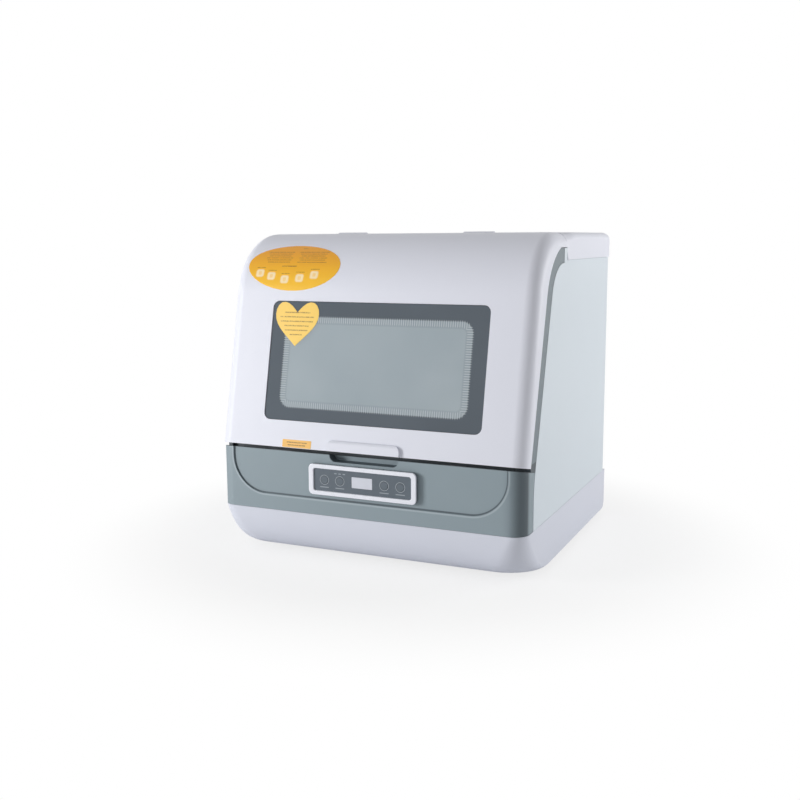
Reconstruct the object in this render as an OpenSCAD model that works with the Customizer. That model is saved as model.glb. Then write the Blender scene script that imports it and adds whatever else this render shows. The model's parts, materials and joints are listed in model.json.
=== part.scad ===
// Countertop dishwasher with a lift-up front door.
// Millimetres, +Z up, +X to the right seen from the front, the front faces -Y.
// The origin is the middle of the footprint, on the surface that the feet stand on.
// Inside the modules, y is measured back from the front face and z up from the underside.

/* [Body] */
// Overall width
body_w = 425; // [400:1:460]
// Depth from the front face to the rear panel
body_d = 394; // [386:1:430]
// Height without the feet
body_h = 418; // [408:1:440]
// Radius of the upright front corners
corner_r = 20; // [16:1:26]
// Thickness of the side panels
panel_t = 2.5; // [2:0.1:3]

/* [Base] */
// Height of the base moulding
base_h = 60; // [54:1:64]
// How far the curved nose of the base runs back
nose_run = 50; // [40:1:60]
// Radius of the front corners at the underside
nose_corner_r = 51; // [40:1:60]
// Wall of the base moulding
base_wall = 2.6; // [2:0.1:3.2]
// How far the base stands out behind the rear panel
rear_lip = 12; // [9:1:14]
// Height of the feet
foot_h = 8; // [5:1:12]
// Radius of the feet
foot_r = 13; // [10:1:18]
// Distance of the feet from the sides
foot_inset = 46; // [40:1:60]
// Distance of the front feet from the front face
foot_front = 112; // [104:1:124]

/* [Door] */
// Height of the door's bottom edge
door_z = 145; // [141:1:146]
// Gap under the door's bottom edge
door_gap = 4; // [2:0.5:4]
// Backward lean of the flat part of the door, in degrees
door_lean = 12.3; // [11:0.1:13.5]
// Radius of the curve from the front to the top
top_r = 96; // [88:1:104]
// Rounding along the sides of the door
edge_r = 18; // [15:1:20]
// Wall of the door shell
door_wall = 2.4; // [2:0.1:2.8]
// Depth of the door's side skirts at the bottom
skirt_low = 21; // [19:0.5:23]
// Depth of the skirts where the curve starts
skirt_mid = 34; // [32:0.5:36]
// Depth of the skirts at the hinge
skirt_top = 19; // [18:0.5:21]
// Depth of the inner liner's face behind the door's outer face
liner_deep = 18; // [17:0.5:19]
// Thickness of the inner liner
liner_t = 2.5; // [2:0.1:2.6]
// Width of the moulded grip
grip_w = 102; // [90:1:120]
// Height of the moulded grip
grip_h = 14.5; // [14:0.5:22]
// How far the grip stands out
grip_out = 4; // [2:0.5:4.5]

/* [Window] */
// Width of the window glass
window_w = 302; // [270:1:314]
// Distance of the window to the right of the door's middle
window_x = 3.5; // [-5:0.5:5]
// Distance from the glass up to the start of the door's curve
window_over = 11.1; // [9:0.1:20]
// Distance from the door's bottom edge to the glass
window_up = 35; // [32:1:42]
// Corner radius of the window glass
window_r = 9; // [6:0.5:14]
// Thickness of the glass
glass_t = 4; // [3:0.5:5]
// How far the glass lies behind the door's face
glass_set = 1.2; // [0.8:0.1:1.6]
// Width of the strip that the gasket and liner take behind the glass edge
window_rim = 8; // [7:0.5:10]

/* [Hinge] */
// Distance of the hinge axis behind the end of the door's curve
hinge_back = 29.1; // [26:0.1:32]
// Radius of the rolled rear edge of the door
bead_r = 5; // [4.6:0.1:5.4]
// Distance of each hinge from the middle
hinge_x = 93; // [80:1:110]
// Length of each hinge barrel
barrel_len = 42; // [34:1:50]
// Radius of the hinge pins
pin_r = 2; // [1.6:0.1:2.2]
// Running clearance round the pins in the door
pin_fit = 0.05; // [0.03:0.01:0.1]
// Wall of the hinge covers
cover_t = 1.8; // [1.4:0.1:2]

/* [Front frame] */
// Depth of the mouth flange behind the door's outer face
mouth_deep = 28; // [27.5:0.5:30]
// Thickness of the mouth flange
mouth_t = 3; // [2.4:0.2:3.6]
// Height of the sill of the mouth, at its upper edge
sill_z = 153; // [150:1:156]
// Wall of the fascia
fascia_t = 4.5; // [4:0.1:5]
// Distance of the recess in the fascia from the sides
recess_in = 21.5; // [21.5:0.5:32]
// Height of the lower edge of that recess
recess_z = 81; // [78:1:84]
// Corner radius of that recess
recess_r = 48; // [40:1:54]
// Depth of that recess
recess_deep = 2; // [1.5:0.1:2.5]
// Width of the finger pocket under the grip
pocket_w = 96; // [80:1:110]
// Height of the finger pocket's floor
pocket_z = 131; // [130.5:0.5:133]
// Depth of the finger pocket
pocket_deep = 17; // [14:0.5:20]
// Distance of the side panel's front edge from the front face, at the bottom
edge_y = 34; // [32:0.5:38]
// Backward lean of the side panel's front edge, in degrees
edge_lean = 16.3; // [15.5:0.1:17]
// Radius at the top of the side panel's front edge
edge_top_r = 52; // [46:1:58]
// Height of the side panel's step under the door's skirt
edge_top = 379.5; // [376:0.5:382]

/* [Controls] */
// Width of the control bezel
bezel_w = 150; // [144:1:160]
// Height of the control bezel
bezel_h = 40; // [38:1:41]
// Height of its middle
bezel_z = 108; // [107:0.5:108.5]
// How far the bezel stands out of the front face
bezel_out = 5; // [3:0.5:6]
// Width of the bezel's frame round the overlay
bezel_rim = 7; // [5.5:0.5:7.5]
// Diameter of the round keys
key_d = 10.4; // [9:0.1:12]
// Distance of the inner keys from the middle
key_near = 31; // [28:0.5:34]
// Distance of the outer keys from the middle
key_far = 53; // [50:0.5:55]
// Travel of the keys
key_travel = 0.6; // [0.3:0.1:0.6]
// Gap round each key
key_gap = 0.35; // [0.25:0.05:0.5]
// Width of the display
display_w = 29; // [24:0.5:32]
// Height of the display
display_h = 14.4; // [12:0.2:16]

/* [Top cap] */
// Height of the cap's side
cap_h = 35; // [32:0.5:38]
// Rounding of the cap's rear edge
cap_r = 13; // [10:1:16]
// How far the cap stands out of the side panels
cap_out = 1; // [0.5:0.1:1.5]
// Wall of the cap
cap_t = 2.4; // [2:0.1:3]

/* [Tub] */
// Distance of the tub's side walls from the sides
tub_side = 26.5; // [25:0.5:32]
// Height of the tub's floor
tub_z = 128; // [127:1:130]
// Distance of the tub's rear wall from the rear panel
tub_rear = 26; // [24:0.5:32]
// Wall of the tub
tub_t = 2; // [1.6:0.1:2.4]
// Width of the seal
seal_w = 9; // [7:0.5:11]

/* [Washing] */
// Distance of the spray arm's axis from the front face
post_y = 210; // [206:1:214]
// Radius of the spray post
post_r = 10; // [9:0.5:12]
// Space between the end of the spray arm and the tub's rear wall
arm_clear = 8; // [4:0.5:16]
// Width of the spray arm
arm_w = 34; // [30:1:40]
// Thickness of the spray arm
arm_t = 11; // [10:0.5:12]
// Running clearance of the spray arm on its post
arm_fit = 0.08; // [0.05:0.01:0.1]
// Radius of the ring of the heating element
heater_ring = 72; // [68:1:74]
// Radius of the heating element's tube
heater_r = 3.5; // [3:0.1:4]
// Distance of the filter's axis from the front face
filter_y = 100; // [98:1:102]
// Radius of the coarse filter
filter_r = 30; // [26:1:32]
// Radius of the round fine filter
fine_r = 58; // [54:1:62]
// Inner radius of the sump
sump_r = 47; // [44:1:50]
// Depth of the sump under the tub
sump_deep = 42; // [36:1:46]

/* [Rack] */
// Space beside the dish rack
rack_side = 13; // [11:0.5:20]
// Space behind the dish rack
rack_behind = 17; // [15:0.5:24]
// Distance of the rack's front from the front face
rack_front = 67; // [66:1:70]
// Height of the rack's floor above the tub's floor
rack_up = 42; // [40:1:46]
// Height of the rack's sides
rack_h = 66; // [56:1:68]
// Diameter of the rack's rim wire
rim_d = 5; // [4:0.5:5.5]
// Diameter of the other wires
wire_d = 3.2; // [2.8:0.1:3.6]
// Spacing of the floor wires
wire_pitch = 24; // [20:1:30]
// Height of the plate tines
tine_h = 46; // [36:1:50]
// Spacing of the plate tines
tine_pitch = 30; // [26:1:40]
// Width of the cutlery basket
basket_w = 56; // [50:1:60]
// Length of the cutlery basket
basket_l = 132; // [110:2:140]
// Height of the cutlery basket
basket_h = 66; // [56:1:72]

/* [Rear] */
// Radius of the inlet's pipe thread
inlet_r = 13.2; // [12:0.1:14]
// Length of the inlet's thread
inlet_len = 11; // [8:0.5:11.5]
// Radius of the drain spigot
drain_r = 8; // [6:0.5:9]
// Length of the drain spigot
drain_len = 11.5; // [8:0.5:11.5]
// Radius of the cord gland's bore
gland_r = 4; // [3:0.1:4.5]

/* [Stickers] */
// Thickness of the stickers
label_t = 0.3; // [0.2:0.05:0.4]
// Width of the oval sticker
oval_w = 138; // [120:2:140]
// Height of the oval sticker along the curve
oval_h = 70; // [60:2:74]
// Width of the heart sticker
heart_w = 64; // [50:1:66]

/* [Hidden] */

// Colours, as the photograph shows them
white = [0.90, 0.91, 0.95];
side_white = [0.85, 0.89, 0.92];
slate = [0.55, 0.61, 0.64];
dark_slate = [0.42, 0.46, 0.50];
glass_tint = [0.62, 0.69, 0.73, 0.6];
rubber = [0.22, 0.23, 0.24];
steel = [0.72, 0.73, 0.75];
board_green = [0.10, 0.36, 0.24];
orange = [0.92, 0.66, 0.05];
yellow = [0.94, 0.79, 0.38];

// Clearances between pieces that only lie beside each other
seat = 0.3;     // between pieces that are fastened together
slide = 0.8;    // between the door and what it swings past
seam = 0.03;    // between wires or walls that are joined into one piece
tiny = 0.01;    // reach of a cut past the surface that it opens

// Places worked out from the sizes above
side_x = body_w / 2;
rear_y = body_d + rear_lip;
front_y = -(rear_y + bezel_out) / 2 + bezel_out;
arc_n = 14;
curve_n = 40;
line_len = (body_h - top_r - door_z + top_r * sin(door_lean)) / cos(door_lean);
arc_y = line_len * sin(door_lean) + top_r * cos(door_lean);
arc_z = body_h - top_r;
hinge_y = arc_y + hinge_back;
window_h = line_len - window_up - window_over;
recess_half = side_x - recess_in;
tub_w = body_w - 2 * tub_side;
tub_back = body_d - tub_rear;
rack_w = tub_w - 2 * rack_side;
rack_d = tub_back - rack_behind - rack_front;
arm_len = 2 * (tub_back - arm_clear - post_y);
frame_x = side_x - door_wall - slide;          // outer face of the frame inside the skirts
mouth_x = tub_w / 2;
floor_z = tub_z - tub_t;
fascia_top = door_z - door_gap;
ledge_t = 2.5;
ledge_up = -door_gap / cos(door_lean);         // the ledge's upper face, along the door
sill_low = door_z - (mouth_deep + mouth_t) * sin(door_lean)
    - (door_gap + ledge_t) * cos(door_lean);
seal_t = mouth_deep - liner_deep - liner_t - seat;
hinge_z = body_h - bead_r;
barrel_r = bead_r - 0.2;
cap_front = hinge_y + bead_r + 0.5;
head_back = hinge_y + 34;                      // rear edge of the frame's head
cap_z = body_h - cap_h;
tub_top = body_h - mouth_deep - mouth_t;
notch_half = barrel_len / 2 + 1;
window_mid = window_up + window_h / 2;
overlay_w = bezel_w - 2 * bezel_rim;
overlay_h = bezel_h - 1.6 * bezel_rim;
overlay_t = 2;
overlay_y = -bezel_out + 2;                    // front face of the overlay
collar_wall = 2;
board_y = overlay_y + 12;
key_xs = [-key_far, -key_near, key_near, key_far];
latch_x = 120;
latch_w = 30;
latch_y = 8;
latch_d = 10;
pump_y = post_y;
pump_top = 106;
pump_r = 42;
motor_r = 30;
motor_z = 14;
stub_z = 95;
drain_x = 100;
drain_z = 84;
spigot_x = drain_x - 26;
drain_y = filter_y;
inlet_x = -150;
inlet_z = 88;
gland_x = 160;
gland_z = 84;
valve_back = body_d - 3;
rack_z = tub_z + rack_up;
wire_up = 0.3;                                 // the floor wires lie this much above the floor frame
rim_flat = rim_d / 2 * cos(22.5);              // half the thickness of an eight-sided rim wire
wire_flat = wire_d / 2 * cos(22.5);
rack_back = rack_front + rack_d;
basket_x = rack_w / 2 - basket_w - 8;
basket_y = rack_back - basket_l - 10;
basket_z = rack_z + wire_up + wire_flat + seat;

// ---------- outlines ----------

function reversed(list) = [for (i = [len(list) - 1 : -1 : 0]) list[i]];

function arc_points(cx, cy, r, from, to, n) =
    [for (i = [0 : n]) let (a = from + (to - from) * i / n) [cx + r * cos(a), cy + r * sin(a)]];

function round_rect(w, h, r, n = 6) = concat(
    arc_points(w / 2 - r, h / 2 - r, r, 0, 90, n),
    arc_points(-w / 2 + r, h / 2 - r, r, 90, 180, n),
    arc_points(-w / 2 + r, -h / 2 + r, r, 180, 270, n),
    arc_points(w / 2 - r, -h / 2 + r, r, 270, 360, n));

// Plan of a box whose front corners are rounded; the front lies at y0, the back at y1
function front_plan(half, y0, y1, r, n = 8) = concat(
    [[half, y1]],
    reversed(arc_points(half - r, y0 + r, r, -90, 0, n)),
    reversed(arc_points(-half + r, y0 + r, r, 180, 270, n)),
    [[-half, y1]]);

// y of the flat part of the door at height z, at a depth behind the outer face
function lean_y(z, deep) = (z - door_z) * tan(door_lean) + deep / cos(door_lean);

// Side view of the door's outer face, moved inwards by a depth
function visor(deep, z_low, y_end) = concat(
    [[lean_y(z_low, deep), z_low]],
    [for (i = [0 : arc_n]) let (a = door_lean + (90 - door_lean) * i / arc_n)
        [arc_y - (top_r - deep) * cos(a), arc_z + (top_r - deep) * sin(a)]],
    [[y_end, body_h - deep]]);

function visor_band(deep_1, deep_2, z_low, y_end) =
    concat(visor(deep_1, z_low, y_end), reversed(visor(deep_2, z_low, y_end)));

// Depth of the skirts over the curve, t runs from 0 at its start to 1 at the top
function skirt_depth(t) = skirt_mid - (skirt_mid - skirt_top) * t * t;

// Stations along the door's side view: [y, z, angle of the inward normal, skirt depth]
stations = concat(
    [[0, door_z, door_lean, skirt_low]],
    [for (i = [0 : arc_n]) let (t = i / arc_n, a = door_lean + (90 - door_lean) * t)
        [arc_y - top_r * cos(a), arc_z + top_r * sin(a), a, skirt_depth(t)]],
    [[hinge_y, body_h, 90, skirt_top]]);

// Side view of the skirts' rear edge, moved further in by a gap
function skirt_edge(gap, y_end) = concat(
    [for (s = stations) if (s[0] <= arc_y + 0.001)
        [s[0] + (s[3] + gap) * cos(s[2]), s[1] - (s[3] + gap) * sin(s[2])]],
    [[y_end, body_h - skirt_top - gap]]);

// Side view of the side panels' front edge, moved back by a gap
low_r = 150;
low_z = 95;
low_end_y = edge_y + low_r * (1 - cos(edge_lean));
low_end_z = low_z + low_r * sin(edge_lean);
edge_len = (edge_top - edge_top_r - low_end_z + edge_top_r * sin(edge_lean)) / cos(edge_lean);
edge_arc_y = low_end_y + edge_len * sin(edge_lean) + edge_top_r * cos(edge_lean);
edge_arc_z = edge_top - edge_top_r;
step_y = edge_arc_y + 3;
step_z = body_h - skirt_top - slide;
function panel_edge(gap, z_low) = concat(
    [[edge_y + gap, z_low]],
    [for (i = [0 : 4]) let (a = edge_lean * i / 4)
        [edge_y + low_r - (low_r - gap) * cos(a), low_z + (low_r - gap) * sin(a)]],
    [for (i = [0 : 8]) let (a = edge_lean + (90 - edge_lean) * i / 8)
        [edge_arc_y - (edge_top_r - gap) * cos(a), edge_arc_z + (edge_top_r - gap) * sin(a)]],
    [[step_y + gap, edge_top - gap]]);

// ---------- solids from outlines ----------

module placed() {
    translate([0, front_y, foot_h]) children();
}

// An outline in y and z, drawn out from x0 to x1
module prism_x(points, x0, x1) {
    translate([x0, 0, 0]) rotate([90, 0, 90]) linear_extrude(x1 - x0) polygon(points);
}

module both_sides() {
    children();
    mirror([1, 0, 0]) children();
}

// An outline in x and z, drawn out from y0 back to y1
module prism_y(points, y0, y1) {
    translate([0, y1, 0]) rotate([90, 0, 0]) linear_extrude(y1 - y0) polygon(points);
}

module prism_z(points, z0, z1) {
    translate([0, 0, z0]) linear_extrude(z1 - z0) polygon(points);
}

// Local axes of the flat part of the door: x, depth behind the face, way up along the door
module on_door() {
    translate([0, 0, door_z]) rotate([-door_lean, 0, 0]) children();
}

// A rounded plate round the middle of the window, from one depth to another
module window_plate(w, h, r, deep_1, deep_2) {
    translate([window_x, 0, window_mid]) prism_y(round_rect(w, h, r), deep_1, deep_2);
}

module rod_x(x0, x1, y, z, d) {
    translate([x0, y, z]) rotate([0, 90, 0]) rotate(22.5) cylinder(d = d, h = x1 - x0, $fn = 8);
}

module rod_y(x, y0, y1, z, d) {
    translate([x, y1, z]) rotate([90, 0, 0]) rotate(22.5) cylinder(d = d, h = y1 - y0, $fn = 8);
}

module rod_z(x, y, z0, z1, d) {
    translate([x, y, z0]) rotate(22.5) cylinder(d = d, h = z1 - z0, $fn = 8);
}

module tube_z(outer, inner, z0, z1) {
    difference() {
        translate([0, 0, z0]) cylinder(r = outer, h = z1 - z0, $fn = curve_n);
        translate([0, 0, z0 - 1]) cylinder(r = inner, h = z1 - z0 + 2, $fn = curve_n);
    }
}

// An upright round column
module rod_up(x, y, r, z0, z1) {
    translate([x, y, z0]) cylinder(r = r, h = z1 - z0, $fn = curve_n);
}

// A cylinder that points back, from y0 to y1
module disc_y(r, y0, y1) {
    translate([0, y1, 0]) rotate([90, 0, 0]) cylinder(r = r, h = y1 - y0, $fn = curve_n);
}

module disc_x(r, x0, x1) {
    translate([x0, 0, 0]) rotate([0, 90, 0]) cylinder(r = r, h = x1 - x0, $fn = curve_n);
}

// ---------- casing ----------

nose_n = 9;
rear_round = 11;

// One level of the base, wall thickness in from its outer face
module base_level(i, wall) {
    a = 90 * i / nose_n;
    z = base_h * (1 - sin(a));
    y0 = nose_run * (1 - cos(a)) + wall;
    r = corner_r + (nose_corner_r - corner_r) * sin(a) - wall;
    back = z < rear_round ? rear_round - sqrt(rear_round * rear_round - pow(rear_round - z, 2)) : 0;
    translate([0, 0, max(z, wall > 0 ? base_wall : 0)])
        linear_extrude(0.02) polygon(front_plan(side_x - wall, y0, rear_y - wall - back, r));
}

column_xs = [-168, 168];
column_ys = [118, tub_back - 38];
column_r = 9;
board_x = -154;
board_y0 = 88;
board_z = 14;
board_w = 80;
board_d = 96;

module base_tray() {
    color(white) placed() {
        difference() {
            hull() for (i = [0 : nose_n]) base_level(i, 0);
            hull() {
                for (i = [0 : nose_n]) base_level(i, base_wall);
                prism_z(front_plan(side_x - base_wall, base_wall, rear_y - base_wall, corner_r - base_wall),
                    base_h, base_h + 2);
            }
            for (i = [-6 : 6])
                translate([i * 14 - 2, pump_y + 60, -1]) cube([4, 70, base_wall + 2]);
        }
        // top of the rear lip
        translate([-side_x + 6, body_d - 2, base_h - base_wall])
            cube([body_w - 12, rear_lip + 1, base_wall]);
        // columns under the tub
        for (x = column_xs, y = column_ys)
            rod_up(x, y, column_r, base_wall - 0.5, floor_z);
        // ring that the wash motor stands in
        translate([0, pump_y, 0]) tube_z(motor_r + 4, motor_r - 6, base_wall - 0.5, motor_z);
        // rest of the drain pump
        translate([drain_x - 24, drain_y - 14, base_wall - 0.5])
            cube([36, 28, drain_z - drain_r0 - base_wall + 0.5]);
        // posts of the power board
        for (x = [board_x + 6, board_x + board_w - 6], y = [board_y0 + 6, board_y0 + board_d - 6])
            rod_up(x, y, 4, base_wall - 0.5, board_z);
        // rest of the inlet valve
        translate([inlet_x - 16, valve_back - 44, base_wall - 0.5])
            cube([32, 30, inlet_z - 20 - base_wall + 0.5]);
    }
}

panel_top = cap_z - seat;
tongue_t = 2.2;

return_w = 14;
return_t = 2;

module side_panel() {
    // outer plate with the curved front edge
    prism_x(concat(
        panel_edge(0, base_h + seat),
        [[step_y, step_z], [hinge_y + 0.4, step_z], [hinge_y + 0.4, panel_top]],
        [[body_d, panel_top], [body_d, base_h + seat]]), side_x - panel_t, side_x);
    // tongue behind the cap
    translate([side_x - panel_t - tongue_t, head_back + 1, panel_top - 14])
        cube([tongue_t + panel_t + cap_out - cap_t - seat, body_d - head_back - 11, 28]);
    // rear return
    difference() {
        translate([side_x - panel_t - return_w, body_d - return_t, base_h + seat])
            cube([return_w + tiny, return_t, panel_top - base_h - seat]);
        for (p = screw_places)
            translate([abs(p[0]), 0, p[1]]) disc_y(screw_r + 0.2, body_d - 8, body_d + 1);
    }
}

module side_panel_left() { color(side_white) placed() mirror([1, 0, 0]) side_panel(); }
module side_panel_right() { color(side_white) placed() side_panel(); }

rear_t = 1.2;
shoulder = 1.5;                                // step of the rear connections inside the panel's holes
rear_x = side_x - panel_t - return_w - seat;
screw_r = 2;
flange_y = body_d - return_t - seat - rear_t;
screw_places = [for (x = [-1, 1], z = [80, 215, 350]) [x * (side_x - panel_t - 9), z]];

module rear_panel() {
    color(side_white) placed() difference() {
        union() {
            translate([-rear_x, body_d - rear_t, base_h + seat])
                cube([2 * rear_x, rear_t, panel_top - base_h - seat]);
            // flanges that lie inside the side panels' returns
            both_sides() translate([rear_x - 0.5, flange_y, base_h + seat + 2])
                cube([return_w - 1, rear_t, panel_top - base_h - seat - 4]);
            both_sides() translate([rear_x - 1.5, flange_y, base_h + seat + 2])
                cube([1.5, body_d - flange_y, panel_top - base_h - seat - 4]);
        }
        // air slots
        for (i = [0 : 9])
            translate([40, body_d - 8, 120 + i * 10]) cube([110, 10, 4]);
        translate([inlet_x, 0, inlet_z]) disc_y(inlet_r + shoulder + seat, body_d - 8, body_d + 1);
        translate([spigot_x, 0, drain_z]) disc_y(drain_r + shoulder + seat, body_d - 8, body_d + 1);
        translate([gland_x, 0, gland_z]) disc_y(gland_r + 3, body_d - 8, body_d + 1);
        for (p = screw_places)
            translate([p[0], 0, p[1]]) disc_y(screw_r + 0.2, body_d - 8, body_d + 1);
    }
}

cap_side = side_x + cap_out;
cap_side_r = 10;
cap_post_x = 150;
cap_post_r = 5;

// The cap's outer form: side view, front view and plan, each rounded, taken together
module cap_form(wall, z_low) {
    x1 = cap_side - wall;
    z1 = body_h - wall;
    y1 = body_d + cap_out * 3 - wall;
    r1 = cap_r - wall;
    r2 = cap_side_r - wall;
    y0 = hinge_y + slide;
    intersection() {
        prism_x(concat([[y0, z_low], [y0, z1]], reversed(arc_points(y1 - r1, z1 - r1, r1, 0, 90, 8)),
            [[y1, z_low]]), -x1, x1);
        prism_y(concat([[x1, z_low]], arc_points(x1 - r2, z1 - r2, r2, 0, 90, 6),
            arc_points(-x1 + r2, z1 - r2, r2, 90, 180, 6), [[-x1, z_low]]), y0 - 1, y1 + 1);
    }
}

module top_cap() {
    color(white) placed() {
        difference() {
            cap_form(0, cap_z);
            cap_form(cap_t, cap_z - 1);
            // the front edge follows the door's rolled edge and its rounded ends
            translate([0, cap_front - 2 * edge_r, 0])
                prism_z(round_rect(body_w + 1, 4 * edge_r, edge_r + 0.5, 12), cap_z - 1, body_h + 1);
            for (x = [-hinge_x, hinge_x])
                translate([x - barrel_len / 2 - 0.5, hinge_y, hinge_z - 12])
                    cube([barrel_len + 1, bead_r + cover_t + 1, 30]);
        }
        // front lip between the hinges
        difference() {
            translate([-side_x + edge_r - 10, cap_front, hinge_z - 6])
                cube([body_w - 2 * edge_r + 20, cap_t, 6 + bead_r - cap_t + tiny]);
            for (x = [-hinge_x, hinge_x])
                translate([x - barrel_len / 2 - 0.5, hinge_y, hinge_z - 12])
                    cube([barrel_len + 1, bead_r + cap_t + 6, 30]);
        }
        // posts that rest on the frame and the tub
        for (x = [-cap_post_x, cap_post_x]) {
            rod_up(x, hinge_y + 24, cap_post_r, body_h - mouth_deep, body_h - cap_t + tiny);
            rod_up(x, tub_back - 18, cap_post_r, tub_top, body_h - cap_t + tiny);
        }
    }
}

module u_outline(half, z_low, r) {
    polygon(concat([[half, fascia_top + 5]], reversed(arc_points(half - r, z_low + r, r, -90, 0, 8)),
        reversed(arc_points(-half + r, z_low + r, r, 180, 270, 8)), [[-half, fascia_top + 5]]));
}

module front_solid(y0, y1) {
    translate([0, y1, 0]) rotate([90, 0, 0]) linear_extrude(y1 - y0) children();
}

strip_gap = 0.4;
cheek_t = 3;
tuck = 10;
fascia_side_t = 2.5;

module front_frame() {
    color(slate) placed() {
        difference() {
            union() {
                // fascia wall, round the front corners to the side panels
                difference() {
                    prism_z(front_plan(side_x - strip_gap, 0, edge_y - strip_gap, corner_r),
                        base_h + seat, fascia_top + 1);
                    prism_z(front_plan(side_x - fascia_side_t, fascia_t, edge_y + 5,
                        corner_r - fascia_side_t), base_h - 1, fascia_top + 2);
                }
                // box of the finger pocket
                translate([-pocket_w / 2 - 2.5, 1, pocket_z - 2.5])
                    cube([pocket_w + 5, pocket_deep + 1.5, fascia_top - pocket_z + 2.5]);
                // ledge between the fascia and the mouth
                on_door() prism_z(front_plan(side_x - fascia_side_t + 0.5, 1, mouth_deep + mouth_t - 0.5,
                    corner_r - 2), ledge_up - ledge_t, ledge_up);
            }
            // the upper edge runs along under the door
            on_door() translate([-side_x, -6, ledge_up]) cube([body_w, mouth_deep + 20, 20]);
            front_solid(-1, recess_deep) u_outline(recess_half, recess_z, recess_r);
            // opening of the control module
            translate([0, 0, bezel_z]) prism_y(round_rect(overlay_w + 0.2, overlay_h + 0.2, 3), -1, 9);
            // finger pocket
            translate([0, 0, pocket_z + 20])
                prism_y(round_rect(pocket_w, 40, 8), -1, pocket_deep);
            // pockets of the catch magnets
            for (x = [-latch_x, latch_x])
                on_door() translate([x - latch_w / 2, latch_y, ledge_up - ledge_t - 1])
                    cube([latch_w, latch_d, ledge_t + 2]);
        }
        // flange round the mouth: two sides, sill and head
        both_sides() prism_x(visor_band(mouth_deep, mouth_deep + mouth_t, sill_low, hinge_y + 2),
            mouth_x, frame_x);
        prism_x([[lean_y(sill_low, mouth_deep), sill_low], [lean_y(sill_z, mouth_deep), sill_z],
            [lean_y(sill_z, mouth_deep + mouth_t), sill_z],
            [lean_y(sill_low, mouth_deep + mouth_t), sill_low]], -frame_x, frame_x);
        translate([-frame_x, arc_y + 4, tub_top])
            cube([2 * frame_x, head_back - arc_y - 4, mouth_t]);
        both_sides() {
            // cheek inside the door's skirt
            prism_x(concat(visor(mouth_deep, sill_low, step_y),
                [[step_y, edge_top + 2]], reversed(panel_edge(2, sill_low))),
                frame_x - cheek_t, frame_x);
            // strip that shows between the skirt and the side panel
            prism_x(concat([[(skirt_low + slide) * cos(door_lean), sill_low]],
                skirt_edge(slide, step_y - strip_gap),
                reversed(panel_edge(-strip_gap, sill_low))), frame_x - cheek_t, side_x - strip_gap);
            // tuck behind the side panel
            prism_x(concat(panel_edge(-strip_gap - 1, base_h + 4),
                reversed(panel_edge(tuck, base_h + 4))), side_x - panel_t - cheek_t, side_x - panel_t);
        }
    }
}

// ---------- controls ----------

module control_bezel() {
    color([0.93, 0.94, 0.98]) placed() translate([0, 0, bezel_z]) difference() {
        union() {
            prism_y(round_rect(bezel_w, bezel_h, 6), -bezel_out, recess_deep);
            prism_y(round_rect(overlay_w, overlay_h, 3), recess_deep - tiny, board_y);
        }
        prism_y(round_rect(overlay_w + 0.3, overlay_h + 0.3, 3), -bezel_out - 1, overlay_y + overlay_t);
        prism_y(round_rect(overlay_w - 2 * collar_wall, overlay_h - 2 * collar_wall, 2),
            overlay_y, board_y + 1);
    }
}

module control_overlay() {
    color(dark_slate) placed() translate([0, 0, bezel_z]) difference() {
        prism_y(round_rect(overlay_w, overlay_h, 2.9), overlay_y, overlay_y + overlay_t);
        prism_y(round_rect(display_w, display_h, 1), overlay_y - 1, overlay_y + overlay_t + 1);
        for (x = key_xs) translate([x, 0, 0])
            disc_y(key_d / 2 + key_gap, overlay_y - 1, overlay_y + overlay_t + 1);
    }
}

lens_step = 1;
module display_lens() {
    color([0.84, 0.85, 0.90]) placed() translate([0, 0, bezel_z]) {
        prism_y(round_rect(display_w - 0.3, display_h - 0.3, 0.9), overlay_y + 0.2,
            overlay_y + overlay_t + lens_step);
        prism_y(round_rect(display_w + 2.4, display_h + 2.4, 1), overlay_y + overlay_t + 0.05,
            overlay_y + overlay_t + lens_step);
    }
}

module display_module() {
    color([0.2, 0.2, 0.22]) placed() translate([0, 0, bezel_z])
        prism_y(round_rect(display_w + 1, display_h + 1, 1), overlay_y + overlay_t + lens_step, board_y);
}

switch_h = 3.4;
module control_board() {
    color(board_green) placed() translate([0, 0, bezel_z]) {
        prism_y(round_rect(overlay_w - 1, overlay_h - 0.6, 2), board_y, board_y + 1.6);
        for (x = key_xs) translate([x, 0, 0]) {
            disc_y(1.8, board_y - switch_h - 0.8, board_y + tiny);
            translate([-3, board_y - switch_h, -3]) cube([6, switch_h + tiny, 6]);
        }
    }
}

module key(i) {
    color([0.50, 0.55, 0.59]) placed() translate([key_xs[i], 0, bezel_z]) {
        disc_y(key_d / 2, overlay_y - 0.3, overlay_y + overlay_t + 0.5);
        disc_y(key_d / 2 + 1.4, overlay_y + overlay_t + 0.05, overlay_y + overlay_t + 1);
        disc_y(2, overlay_y + overlay_t, board_y - switch_h - 0.8 - key_travel - 0.05);
    }
}

module key_1() { key(0); }
module key_2() { key(1); }
module key_3() { key(2); }
module key_4() { key(3); }

// ---------- door ----------

corner_n = 6;

// Half of a cross-section of the shell, from the skirt's edge to the middle: [x, depth]
function half_section(r, wall, deep) = concat(
    [[side_x - wall, deep]],
    [for (i = [0 : corner_n]) let (a = 90 * i / corner_n)
        [side_x - edge_r + (r - wall) * cos(a), edge_r - (r - wall) * sin(a)]]);

function mirrored(points) = [for (p = reversed(points)) [-p[0], p[1]]];

function section(deep) =
    let (outer = half_section(edge_r, 0, deep), inner = half_section(edge_r, door_wall, deep))
    concat(outer, mirrored(outer), reversed(concat(inner, mirrored(inner))));

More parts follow.
